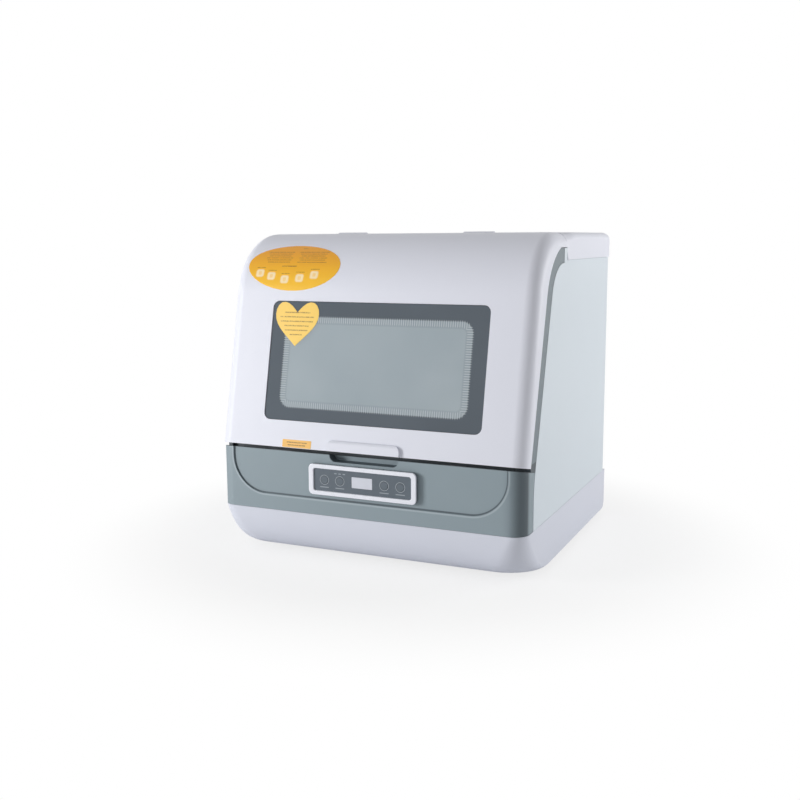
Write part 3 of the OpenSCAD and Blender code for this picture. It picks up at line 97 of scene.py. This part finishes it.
class Wire:
    """The output of a node; arithmetic on it adds Math nodes."""

    def __init__(self, finish, socket):
        self.finish = finish
        self.socket = socket

    def maths(self, operation, *values):
        return self.finish.node("ShaderNodeMath", {"operation": operation}, dict(enumerate(values)))

    def __add__(self, other):
        return self.maths("ADD", self, other)

    __radd__ = __add__

    def __sub__(self, other):
        return self.maths("SUBTRACT", self, other)

    def __rsub__(self, other):
        return self.maths("SUBTRACT", other, self)

    def __mul__(self, other):
        return self.maths("MULTIPLY", self, other)

    def __truediv__(self, other):
        return self.maths("DIVIDE", self, other)

    def __abs__(self):
        return self.maths("ABSOLUTE", self)

    def __lt__(self, other):
        return self.maths("LESS_THAN", self, other)

    def __gt__(self, other):
        return self.maths("GREATER_THAN", self, other)

    def most(self, other):
        return self.maths("MAXIMUM", self, other)

    def least(self, other):
        return self.maths("MINIMUM", self, other)

    def length(self, other):
        return self.maths("SQRT", self * self + other * other)

    def step(self, edge, soft):
        """0 below the edge and 1 above it, with a soft change between."""
        return self.finish.node(
            "ShaderNodeMapRange", {"interpolation_type": "SMOOTHSTEP"},
            {"Value": self, "From Min": edge - soft, "From Max": edge + soft})

    def within(self, middle, half, soft):
        """1 within half of the middle, 0 outside."""
        return 1 - abs(self - middle).step(half, soft)

    def share(self, pitch):
        """How far along its own pitch a length lies, from 0 to 1."""
        return self.maths("FRACT", self / pitch + 100)


class Finish:
    """A material whose nodes are being laid out; lengths in it are in millimetres."""

    def __init__(self, name, fixed=None, tree=None):
        if tree is None:
            self.material = bpy.data.materials.new(name)
            self.material.use_nodes = True
            tree = self.material.node_tree
        self.tree = tree
        self.tree.nodes.clear()
        if fixed is None:
            return
        self.shader = self.tree.nodes.new("ShaderNodeBsdfPrincipled")
        self.output = self.tree.nodes.new("ShaderNodeOutputMaterial")
        self.tree.links.new(self.shader.outputs[0], self.output.inputs[0])
        for socket, value in fixed.items():
            self.shader.inputs[socket].default_value = value
        self.place = self.node("ShaderNodeTexCoord", {}, {}, "Object")
        split = {"Vector": self.place}
        self.x = self.node("ShaderNodeSeparateXYZ", {}, split, "X") * 1000
        self.y = self.node("ShaderNodeSeparateXYZ", {}, split, "Y") * 1000 - ROW_Y
        self.z = self.node("ShaderNodeSeparateXYZ", {}, split, "Z") * 1000 - ROW_Z

    def node(self, kind, settings, values, out=0):
        """Adds a node, sets its settings and then its sockets, and gives one output."""
        made = self.tree.nodes.new(kind)
        for key, value in settings.items():
            setattr(made, key, value)
        for key, value in values.items():
            self.feed(made.inputs[key], value)
        return Wire(self, made.outputs[out])

    def feed(self, socket, value):
        if isinstance(value, Wire):
            self.tree.links.new(value.socket, socket)
        else:
            socket.default_value = value

    def set(self, socket, value):
        self.feed(self.shader.inputs[socket], value)

    def base_colour(self):
        """The base colour as it is so far, to lay another tone over."""
        return Wire(self, self.shader.inputs["Base Color"].links[0].from_socket)

    def mixed(self, share, low, high):
        """A colour between two others."""
        return self.node("ShaderNodeMix", {"data_type": "RGBA"}, {0: share, 6: low, 7: high}, 2)

    def cloud(self, size, detail=2.0, stretch=(1, 1, 1)):
        """Soft noise from 0 to 1 whose patches are about size millimetres across."""
        place = self.node("ShaderNodeMapping", {}, {"Vector": self.place, "Scale": stretch})
        return self.node(
            "ShaderNodeTexNoise", {}, {"Vector": place, "Scale": 1000 / size, "Detail": detail})

    def relief(self, height, depth):
        """Bumps whose full height is depth millimetres."""
        bump = self.node("ShaderNodeBump", {}, {"Height": height, "Distance": depth / 1000}, "Normal")
        self.set("Normal", bump)

    def box(self, across, up, half_w, half_h, radius):
        """Distance outside a rounded rectangle, less than 0 inside it."""
        side = abs(across) - (half_w - radius)
        top = abs(up) - (half_h - radius)
        outside = side.most(0).length(top.most(0))
        return outside + side.most(top).least(0) - radius


def scaled(colour, factor, lift=0.0):
    """A colour made lighter or darker by a factor."""
    return [min(1, c * factor + lift) for c in colour[:3]] + [1]


def any_of(masks):
    """1 wherever one of several masks is 1."""
    return functools.reduce(Wire.most, masks)


def moulded(name, colour, rough, grain=0.7, depth=0.02, drift=0.02, fixed=None):
    """Moulded plastic: fine grain, a little cloudiness and an uneven sheen."""
    made = Finish(name, fixed or {"Specular IOR Level": 0.5})
    made.set("Base Color", made.mixed(
        made.cloud(70, 3), scaled(colour, 1 - drift), scaled(colour, 1 + drift)))
    made.set("Roughness", rough - 0.04 + made.cloud(9, 3) * 0.08)
    made.relief(made.cloud(grain, 2), depth)
    return made


def metal(name, colour, rough, stretch, depth=0.004):
    """Drawn or rolled metal with fine marks along one direction."""
    made = Finish(name, {"Metallic": 1.0})
    marks = made.cloud(0.6, 4, stretch)
    made.set("Base Color", made.mixed(made.cloud(30, 3), scaled(colour, 0.93), colour))
    made.set("Roughness", rough - 0.07 + marks * 0.14)
    made.relief(marks, depth)
    return made


def soft_rubber(name, colour, rough):
    """Rubber: dull, with a fine grain and a trace of bloom."""
    made = Finish(name, {"Specular IOR Level": 0.35})
    bloom = made.cloud(18, 4)
    made.set("Base Color", made.mixed(bloom, colour, scaled(colour, 1.35, 0.004)))
    made.set("Roughness", rough - 0.05 + made.cloud(4, 3) * 0.1)
    made.relief(made.cloud(0.35, 2), 0.03)
    return made


def along_door(made):
    """Height along the flat part of the door, above its lower edge."""
    return (made.z - DOOR_Z) * math.cos(LEAN) + made.y * math.sin(LEAN)


def printed_glass():
    """Window glass: a printed border with a comb of short lines inside it, and a tinted middle."""
    made = Finish("window_glass", {"Specular IOR Level": 0.35, "Coat Weight": 0.15, "Coat Roughness": 0.03})
    up = along_door(made) - COMB_UP
    across = made.x - GLASS_X
    rim = made.box(across, up, COMB_HALF_W, COMB_HALF_H, COMB_R)
    border = rim.step(0, 0.8)
    on_side = (abs(across) - COMB_HALF_W) > (abs(up) - COMB_HALF_H)
    along = on_side * up + (1 - on_side) * across
    lines = 1 - abs(along.share(3) - 0.5).step(0.16, 0.1)
    comb = lines * rim.within(COMB_INSET, 4.2, 1.4)
    shade = made.mixed(made.cloud(120, 2), tone(80, 89, 98), tone(94, 103, 112))
    middle = made.mixed(made.cloud(90, 2), tone(176, 190, 198), tone(198, 209, 215))
    veil = made.mixed(rim.within(COMB_INSET, 5.4, 1.2) * 0.35, middle, tone(150, 162, 170))
    colour = made.mixed(border, veil, shade)
    made.set("Base Color", made.mixed(comb * 0.75, colour, tone(214, 222, 227)))
    made.set("Alpha", border.most(comb * 0.85).most(0.7))
    made.set("Roughness", 0.05 + made.cloud(40, 3) * 0.04)
    made.relief(made.cloud(60, 1), 0.01)
    return made


def small_print(made, across, up, rows, colour, ink, strength):
    """A colour with rows of plain, broken bars: (middle, height, half width, half height)."""
    bars = any_of([
        across.within(middle, half_w, 0.4) * up.within(height, half_h, 0.25)
        for middle, height, half_w, half_h in rows])
    broken = bars * (made.cloud(1.1, 1).step(0.44, 0.07) * 0.75 + 0.25)
    return made.mixed(broken * strength, colour, ink)


def oval_film():
    """Orange film on the curve of the door: rows of bars above small pale squares."""
    made = Finish("oval_label", {"Specular IOR Level": 0.5, "Coat Weight": 0.25, "Coat Roughness": 0.15})
    turn = made.node(
        "ShaderNodeMath", {"operation": "ARCTAN2"}, {0: made.z - CURVE_Z, 1: CURVE_Y - made.y})
    up = (turn - OVAL_TURN) * CURVE_R
    across = made.x - OVAL_X
    colour = made.mixed(up.step(-2, 36), tone(250, 194, 30), tone(236, 160, 0))
    rows = [(8, 29.5, 4, 0.6), (-6, -1.5, 11, 0.8)]
    for k in range(6):
        rows.append((-26 + k * 0.3, 22.5 - k * 3.5, 20 - (k % 3) * 1.5, 0.6))
        rows.append((24 + k * 0.3, 22.5 - k * 3.5, 22 - (k * 2 % 5), 0.6))
    spots = []
    for middle, height in ((-48, -12), (-30, -16), (-9, -20.5), (13, -18.5), (34, -14)):
        spot = 1 - made.box(across - middle, up - height, 5.8, 5.4, 3).step(0, 1.2)
        inner = 1 - made.box(across - middle, up - height, 2.4, 2.6, 1.2).step(0, 0.5)
        spots.append(spot - inner * 0.45)
        rows.append((middle, height + 8.2, 6.5, 0.45))
    colour = small_print(made, across, up, rows, colour, tone(120, 84, 10), 0.75)
    made.set("Base Color", made.mixed(any_of(spots) * 0.85, colour, tone(255, 238, 200)))
    made.set("Roughness", 0.36 + made.cloud(12, 3) * 0.08)
    made.relief(made.cloud(2.5, 2), 0.01)
    return made


def yellow_film(name, colour, rows, centre):
    """Yellow film on the flat of the door, with rows of bars about its centre."""
    made = Finish(name, {"Specular IOR Level": 0.5, "Coat Weight": 0.2, "Coat Roughness": 0.2})
    up = along_door(made) - centre[1]
    across = made.x - centre[0]
    body = made.mixed(made.cloud(25, 2), colour, scaled(colour, 1.06))
    made.set("Base Color", small_print(made, across, up, rows, body, tone(120, 88, 30), 0.8))
    made.set("Roughness", 0.42 + made.cloud(12, 3) * 0.08)
    made.relief(made.cloud(2.5, 2), 0.012)
    return made


def slate_front():
    """Slate plastic with painted shade towards the front corners, in the finger pocket, on the ledge under
    the door and on the strips beside it, and a painted shade line with a painted highlight along the
    moulded recess.
    """
    made = moulded("slate_plastic", tone(142, 156, 163), 0.5, 0.5, 0.03, 0.02)
    low = made.z < DOOR_Z
    front = (made.y < 30) * low
    edge = made.box(made.x, made.z - RECESS_MID, RECESS_HALF, 150, RECESS_R)
    # Painted shade in the groove of the moulded recess, and a painted highlight on the lip just outside it
    recess_groove_shade = edge.within(-1.0, 0.9, 0.7) * front
    recess_lip_highlight = edge.within(1.6, 0.9, 0.8) * front
    # Painted shade on the rounded front corners of the fascia, deeper at the right than at the left
    right = made.x.step(198, 17) * (1 - made.x.step(211.6, 0.8)) * front
    left = (0 - made.x).step(206, 16) * front
    # Painted shade and painted highlight along the recess, then painted shade on the front corners
    colour = made.mixed(recess_groove_shade * 0.75, made.base_colour(), tone(58, 68, 76))
    colour = made.mixed(recess_lip_highlight * 0.34, colour, tone(206, 216, 222))
    colour = made.mixed(right * 0.82, colour, tone(44, 56, 64))
    colour = made.mixed(left * 0.3, colour, tone(62, 72, 80))
    # Painted shade on the ledge under the door's lower edge
    ledge_shade = (along_door(made) > -4.6) * low
    inside = made.y.step(3.4, 0.8) * (1 - made.y.step(POCKET_DEEP - 1, 0.5))
    # Painted shade inside the finger pocket under the door
    pocket_shade = inside * abs(made.x).within(0, 52, 1) * made.z.within(135.5, 6, 0.5)
    colour = made.mixed(pocket_shade * 0.75, colour, tone(38, 46, 54))
    # Painted shade on the slate strips beside the door, above its lower edge
    strip_shade = (made.z > DOOR_Z) * 0.42
    made.set("Base Color", made.mixed((ledge_shade * 0.85).most(strip_shade), colour, tone(46, 54, 62)))
    return made


def base_white():
    """White plastic of the base, with painted shade that greys it a little towards its underside."""
    made = moulded("base_white", tone(217, 220, 231), 0.5, 0.8, 0.014, 0.01, {"Specular IOR Level": 0.35})
    # Painted shade, greying the white towards the underside
    low = 1 - made.z.step(20, 20)
    made.set("Base Color", made.mixed(low * 0.15, made.base_colour(), tone(196, 200, 210)))
    return made


def bezel_white():
    """Glossy white rim whose side walls, behind its front face, are painted a dark slate tone that stands
    in for the shade on them.
    """
    made = moulded("bezel_white", tone(240, 242, 250), 0.28, 1.2, 0.006, 0.006)
    outside = made.box(made.x, made.z - PANEL_Z, BEZEL_HALF_W, BEZEL_HALF_H, BEZEL_R) > 0
    # Painted shade: the side walls behind the front face are painted a dark slate tone
    shaded_wall = outside * made.y.step(1.6 - BEZEL_OUT, 0.3)
    made.set("Base Color", made.mixed(shaded_wall * 0.9, made.base_colour(), tone(84, 94, 102)))
    return made


def key_film():
    """Film over the key panel: thin pale rings round the keys and small plain marks."""
    made = Finish("overlay_film", {"Specular IOR Level": 0.5})
    up = made.z - PANEL_Z
    marks = []
    for middle in (-53, -31, 31, 53):
        ring = (made.x - middle).length(up).within(6.1, 0.28, 0.16)
        bar = (made.x - middle).within(0, 6.2, 0.4) * up.within(-9.4, 0.55, 0.25)
        marks.append(ring.most(bar * 0.7))
    for middle in (-37, -31, -25):
        marks.append((made.x - middle).within(0, 1.7, 0.3) * up.within(9.4, 0.6, 0.25) * 0.7)
    body = made.mixed(made.cloud(50, 2), tone(88, 98, 108), tone(98, 108, 117))
    made.set("Base Color", made.mixed(any_of(marks) * 0.8, body, tone(190, 197, 203)))
    made.set("Roughness", 0.42 + made.cloud(10, 2) * 0.06)
    made.relief(made.cloud(0.5, 2), 0.008)
    return made


def printed_board(name):
    """Green circuit board with paler tracks that stand up a little."""
    made = Finish(name, {"Specular IOR Level": 0.5, "Coat Weight": 0.4})
    tracks = made.cloud(3, 1, (1, 0.4, 1)).step(0.55, 0.02)
    made.set("Base Color", made.mixed(tracks, tone(24, 92, 62), tone(44, 124, 84)))
    made.set("Roughness", 0.4 + tracks * 0.15)
    made.relief(tracks, 0.05)
    return made


WHITE = moulded(
    "case_white", tone(229, 231, 241), 0.46, 0.9, 0.012, 0.008, {"Specular IOR Level": 0.38})
BASE_WHITE = base_white()
SIDE_WHITE = moulded("side_white", tone(216, 225, 232), 0.44, 0.6, 0.015, 0.01)
SLATE = slate_front()
BEZEL = bezel_white()
OVERLAY = key_film()
LENS = moulded("lens_grey", tone(216, 219, 229), 0.3, 2, 0.004, 0.02)
KEY = moulded("key_grey", tone(96, 106, 115), 0.45, 0.5, 0.01, 0.02)
BLACK = moulded("black_plastic", tone(50, 50, 54), 0.55, 0.5, 0.03, 0.05)
BOARD = printed_board("board_green")
LINER = moulded("liner_grey", tone(200, 209, 215), 0.34, 1.0, 0.012, 0.015)
GLASS = printed_glass()
RUBBER = soft_rubber("rubber_black", tone(52, 54, 56), 0.75)
STEEL = metal("steel", tone(196, 198, 202), 0.3, (1, 0.05, 1))
MAGNET = metal("magnet", tone(96, 96, 100), 0.5, (1, 1, 1), 0.02)
OVAL = oval_film()
HEART = yellow_film(
    "heart_label", tone(247, 205, 92),
    [(0, 10 - k * 5.8, w, 0.7) for k, w in enumerate((19, 25, 24, 18, 17, 9))], (-111, 166))
STRIP = yellow_film(
    "strip_label", tone(240, 186, 90), [(0, 1.6, 15, 0.8), (0, -1.8, 13, 0.8)], (-95, 5.6))
SUMP = moulded("sump_grey", tone(150, 158, 165), 0.5, 0.6, 0.03, 0.02)
ARM = moulded("arm_grey", tone(168, 178, 186), 0.42, 0.7, 0.02, 0.02)
WIRE_COAT = moulded("coated_wire", tone(219, 224, 229), 0.3, 1.5, 0.03, 0.02)
PUMP = moulded("pump_grey", tone(90, 94, 102), 0.55, 0.5, 0.04, 0.04)
MOTOR = metal("motor_metal", tone(160, 162, 166), 0.4, (1, 1, 0.08), 0.01)
OFF_WHITE = moulded("white_plastic", tone(220, 219, 214), 0.45, 0.7, 0.02, 0.02)
HOSE = soft_rubber("hose_grey", tone(116, 120, 128), 0.55)


# ---------- pieces ----------


BODIES = frame["record"]["behaviour"]["bodies"]
BODY_OF = {node: body for body, members in BODIES.items() for node in members}


def placed(name, data):
    """A new object in the scene that shows the data."""
    made = bpy.data.objects.new(name, data)
    bpy.context.scene.collection.objects.link(made)
    return made


def finished(node, shape, finish, edge, sharp=40):
    """Makes a bmesh in metres into the piece that stands for a node of the frame."""
    mesh = bpy.data.meshes.new(node + "_piece")
    shape.to_mesh(mesh)
    shape.free()
    mesh.shade_smooth()
    mesh.materials.append(finish.material)
    piece = placed(node + "_piece", mesh)
    if edge:
        rounding = piece.modifiers.new("edges", "BEVEL")
        rounding.width = edge / 1000
        rounding.segments = 2
        rounding.limit_method = "ANGLE"
        rounding.angle_limit = math.radians(38)
        rounding.use_clamp_overlap = True
    else:
        mesh.set_sharp_from_angle(angle=math.radians(sharp))
    shading = piece.modifiers.new("shading", "WEIGHTED_NORMAL")
    shading.keep_sharp = True
    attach(piece, BODY_OF[node])
    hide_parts(node)


def merged(node):
    """A copy of a node's mesh with its corners joined and its flat faces whole."""
    shape = bmesh.new()
    shape.from_mesh(frame["nodes"][node].data)
    bmesh.ops.remove_doubles(shape, verts=shape.verts, dist=2e-6)
    bmesh.ops.dissolve_limit(
        shape, angle_limit=math.radians(0.4), verts=shape.verts, edges=shape.edges)
    return shape


def blended_cap():
    """The top cap, its front corners eased down to the rounding of the door's side edges."""
    shape = merged("top_cap")
    for back in range(6, 40, 3):
        bmesh.ops.bisect_plane(
            shape, geom=shape.verts[:] + shape.edges[:] + shape.faces[:], dist=1e-7,
            plane_co=TO_ROW @ Vector((0, CAP_FRONT + back, 0)), plane_no=(0, 1, 0))
    to_mm = TO_ROW.inverted()
    corner_x, corner_z = SIDE - EDGE_R, BODY_H - EDGE_R
    for vert in shape.verts:
        place = to_mm @ vert.co
        across, up = abs(place.x) - corner_x, place.z - corner_z
        share = 1 - min(max((place.y - CAP_FRONT) / CAP_BLEND, 0), 1)
        if across <= 0 or up <= 0 or share == 0:
            continue
        turn = math.atan2(up, across)
        reach = outer_reach(turn)
        away = math.hypot(across, up)
        away -= (reach - EDGE_R) * share * share * (3 - 2 * share)
        across = away * math.cos(turn)
        # Behind the path of the door's rounded corner as it opens
        clear = HINGE_Y + SWING_BACK - SWING_R + math.sqrt(max(SWING_R ** 2 - across ** 2, 0))
        side = math.copysign(corner_x + across, place.x)
        vert.co = TO_ROW @ Vector((side, max(place.y, clear), corner_z + away * math.sin(turn)))
    return shape


def outer_reach(turn):
    """From the centre of the door's edge rounding to the cap's outer face, turn radians above level."""
    middle = Vector((CAP_SIDE - CAP_R - SIDE + EDGE_R, EDGE_R - CAP_R))
    ray = Vector((math.cos(turn), math.sin(turn)))
    along = middle.dot(ray)
    reach = along + math.sqrt(max(CAP_R ** 2 - (middle.length_squared - along ** 2), 0))
    on_arc = ray * reach - middle
    if on_arc.y < 0:
        return (middle.x + CAP_R) / ray.x
    return EDGE_R / ray.y if on_arc.x < 0 else reach


finished("top_cap", blended_cap(), WHITE, 0.4)

PLAIN = [
    ("base_tray", BASE_WHITE, "case_white", 0.0),
    ("side_panel_left", SIDE_WHITE, "side_white", 0.5),
    ("side_panel_right", SIDE_WHITE, "side_white", 0.5),
    ("rear_panel", SIDE_WHITE, "side_white", 0.25),
    ("front_frame", SLATE, "slate_plastic", 0.5),
    ("control_bezel", BEZEL, "bezel_white", 0.9),
    ("control_overlay", OVERLAY, "overlay_grey", 0.15),
    ("display_lens", LENS, "lens_grey", 0.15),
    ("display_module", BLACK, "black_plastic", 0.2),
    ("control_board", BOARD, "board_green", 0.0),
    *((f"key_{k}", KEY, "key_grey", 0.3) for k in range(1, 5)),
    ("door_shell", WHITE, "case_white", 0.5),
    ("door_liner", LINER, "liner_grey", 0.4),
    ("window_glass", GLASS, "window_glass", 0.4),
    ("window_gasket", RUBBER, "rubber_black", 0.3),
    ("hinge_rail", WHITE, "case_white", 0.3),
    ("catch_plates", STEEL, "steel", 0.15),
    ("label_oval", OVAL, "label_orange", 0.0),
    ("label_heart", HEART, "label_yellow", 0.0),
    ("label_strip", STRIP, "label_yellow", 0.0),
    ("hinge_bracket_left", STEEL, "steel", 0.3),
    ("hinge_bracket_right", STEEL, "steel", 0.3),
    ("hinge_pins", STEEL, "steel", 0.3),
    ("hinge_covers", WHITE, "case_white", 0.3),
    ("catch_magnets", MAGNET, "magnet", 0.15),
    ("door_switch", BLACK, "black_plastic", 0.3),
    ("tub", LINER, "liner_grey", 0.6),
    ("tub_seal", RUBBER, "rubber_black", 0.8),
    ("sump", SUMP, "sump_grey", 0.4),
    ("fine_filter", STEEL, "steel", 0.2),
    ("coarse_filter", SUMP, "sump_grey", 0.3),
    ("heating_element", STEEL, "steel", 0.0),
    ("spray_post", SUMP, "sump_grey", 0.3),
    ("spray_arm", ARM, "arm_grey", 0.5),
    ("spray_arm_nut", SLATE, "slate_plastic", 0.5),
    ("rack_basket", WIRE_COAT, "coated_wire", 0.0),
    ("rack_tines", WIRE_COAT, "coated_wire", 0.0),
    ("rack_feet", SUMP, "sump_grey", 0.4),
    ("cutlery_basket", ARM, "arm_grey", 0.3),
    ("wash_pump_housing", PUMP, "pump_grey", 0.6),
    ("wash_motor", MOTOR, "motor_metal", 0.6),
    ("wash_impeller", OFF_WHITE, "white_plastic", 0.2),
    ("suction_sleeve", RUBBER, "rubber_black", 0.4),
    ("drain_pump_housing", PUMP, "pump_grey", 0.6),
    ("drain_impeller", OFF_WHITE, "white_plastic", 0.2),
    ("drain_hose", HOSE, "hose_grey", 0.4),
    ("drain_spigot", HOSE, "hose_grey", 0.4),
    ("inlet_connector", STEEL, "steel", 0.3),
    ("inlet_valve", OFF_WHITE, "white_plastic", 0.5),
    ("inlet_hose", HOSE, "hose_grey", 0.3),
    ("power_board", BOARD, "board_green", 0.4),
    ("cord_gland", RUBBER, "rubber_black", 0.4),
    ("case_screws", STEEL, "steel", 0.3),
    ("feet", RUBBER, "rubber_black", 0.6),
]

for node, finish, slot, edge in PLAIN:
    finished(node, merged(node), finish, edge, sharp=50 if finish is WIRE_COAT else 40)


# ---------- camera, floor and light ----------


CAMERA_AT = (0.55677, -1.31573, 0.41842)
CAMERA_TURNS = (24.348, 8.988, -0.335)
CAMERA_LENS = 45.775
SKY_LIGHT = 0.37
AIM_HEIGHT = 0.22
PURE_WHITE = tone(255, 255, 255)


def camera():
    """The camera of the picture: turned left by its yaw, down by its pitch, and a little rolled."""
    yaw, pitch, roll = (math.radians(angle) for angle in CAMERA_TURNS)
    level = Vector((-math.sin(yaw), math.cos(yaw), 0))
    right = Vector((math.cos(yaw), math.sin(yaw), 0))
    ahead = level * math.cos(pitch) - Vector((0, 0, math.sin(pitch)))
    up = Vector((0, 0, math.cos(pitch))) + level * math.sin(pitch)
    side = right * math.cos(roll) + up * math.sin(roll)
    top = up * math.cos(roll) - right * math.sin(roll)
    lens = bpy.data.cameras.new("camera")
    lens.lens = CAMERA_LENS
    lens.clip_start, lens.clip_end = 0.05, 60
    made = placed("camera", lens)
    made.matrix_world = Matrix.Translation(CAMERA_AT) @ Matrix(
        (side, top, -ahead)).transposed().to_4x4()
    bpy.context.scene.camera = made


def seen_directly(nodes):
    """Two masks: what the camera sees, also through glass, and what a glossy face mirrors."""
    straight = nodes.node("ShaderNodeLightPath", {}, {}, "Is Camera Ray")
    mirrored = nodes.node("ShaderNodeLightPath", {}, {}, "Is Glossy Ray")
    through = nodes.node("ShaderNodeLightPath", {}, {}, "Is Transmission Ray")
    return straight.most(through), mirrored


def sky():
    """White to the camera, and dimmer as light on the object."""
    world = bpy.data.worlds.new("studio")
    world.use_nodes = True
    bpy.context.scene.world = world
    nodes = Finish("studio", tree=world.node_tree)
    direct, mirrored = seen_directly(nodes)
    strength = (direct + mirrored * 0.9).least(1)
    backdrop = nodes.node(
        "ShaderNodeBackground", {},
        {"Color": PURE_WHITE, "Strength": strength * (1 - SKY_LIGHT) + SKY_LIGHT})
    out = world.node_tree.nodes.new("ShaderNodeOutputWorld")
    world.node_tree.links.new(backdrop.socket, out.inputs[0])


def floor():
    """A white floor that keeps a faint shadow near the object and is plain backdrop further out."""
    shape = bmesh.new()
    bmesh.ops.create_grid(shape, x_segments=1, y_segments=1, size=30)
    mesh = bpy.data.meshes.new("floor")
    shape.to_mesh(mesh)
    shape.free()
    ground = placed("floor", mesh)
    made = Finish("floor", {"Roughness": 0.9, "Specular IOR Level": 0.1})
    mesh.materials.append(made.material)
    made.set("Base Color", made.mixed(made.cloud(400, 2), tone(251, 251, 252), PURE_WHITE))
    far = made.x.length(made.y - 200).step(400, 120) * 0.25 + 0.75
    direct, _ = seen_directly(made)
    glow = made.node("ShaderNodeEmission", {}, {"Color": PURE_WHITE, "Strength": 1.0})
    mix = made.tree.nodes.new("ShaderNodeMixShader")
    made.feed(mix.inputs[0], far * direct)
    made.tree.links.new(made.shader.outputs[0], mix.inputs[1])
    made.tree.links.new(glow.socket, mix.inputs[2])
    made.tree.links.new(mix.outputs[0], made.output.inputs[0])


def softbox(name, turn, rise, reach, size, power):
    """A square lamp turn degrees to the right of the front and rise degrees up, aimed at the object."""
    across, up = math.radians(turn), math.radians(rise)
    aim = Vector((math.sin(across) * math.cos(up), -math.cos(across) * math.cos(up), math.sin(up)))
    lamp = bpy.data.lights.new(name, "AREA")
    lamp.shape = "SQUARE"
    lamp.size = size
    lamp.energy = power
    made = placed(name, lamp)
    made.location = Vector((0, 0, AIM_HEIGHT)) + aim * reach
    made.rotation_euler = aim.to_track_quat("Z", "Y").to_euler()


camera()
sky()
floor()
softbox("left_light", -47, 8, 2.6, 0.8, 39)
softbox("right_light", 124, 10, 2.4, 1.2, 25)

bpy.context.scene.view_settings.view_transform = "Standard"
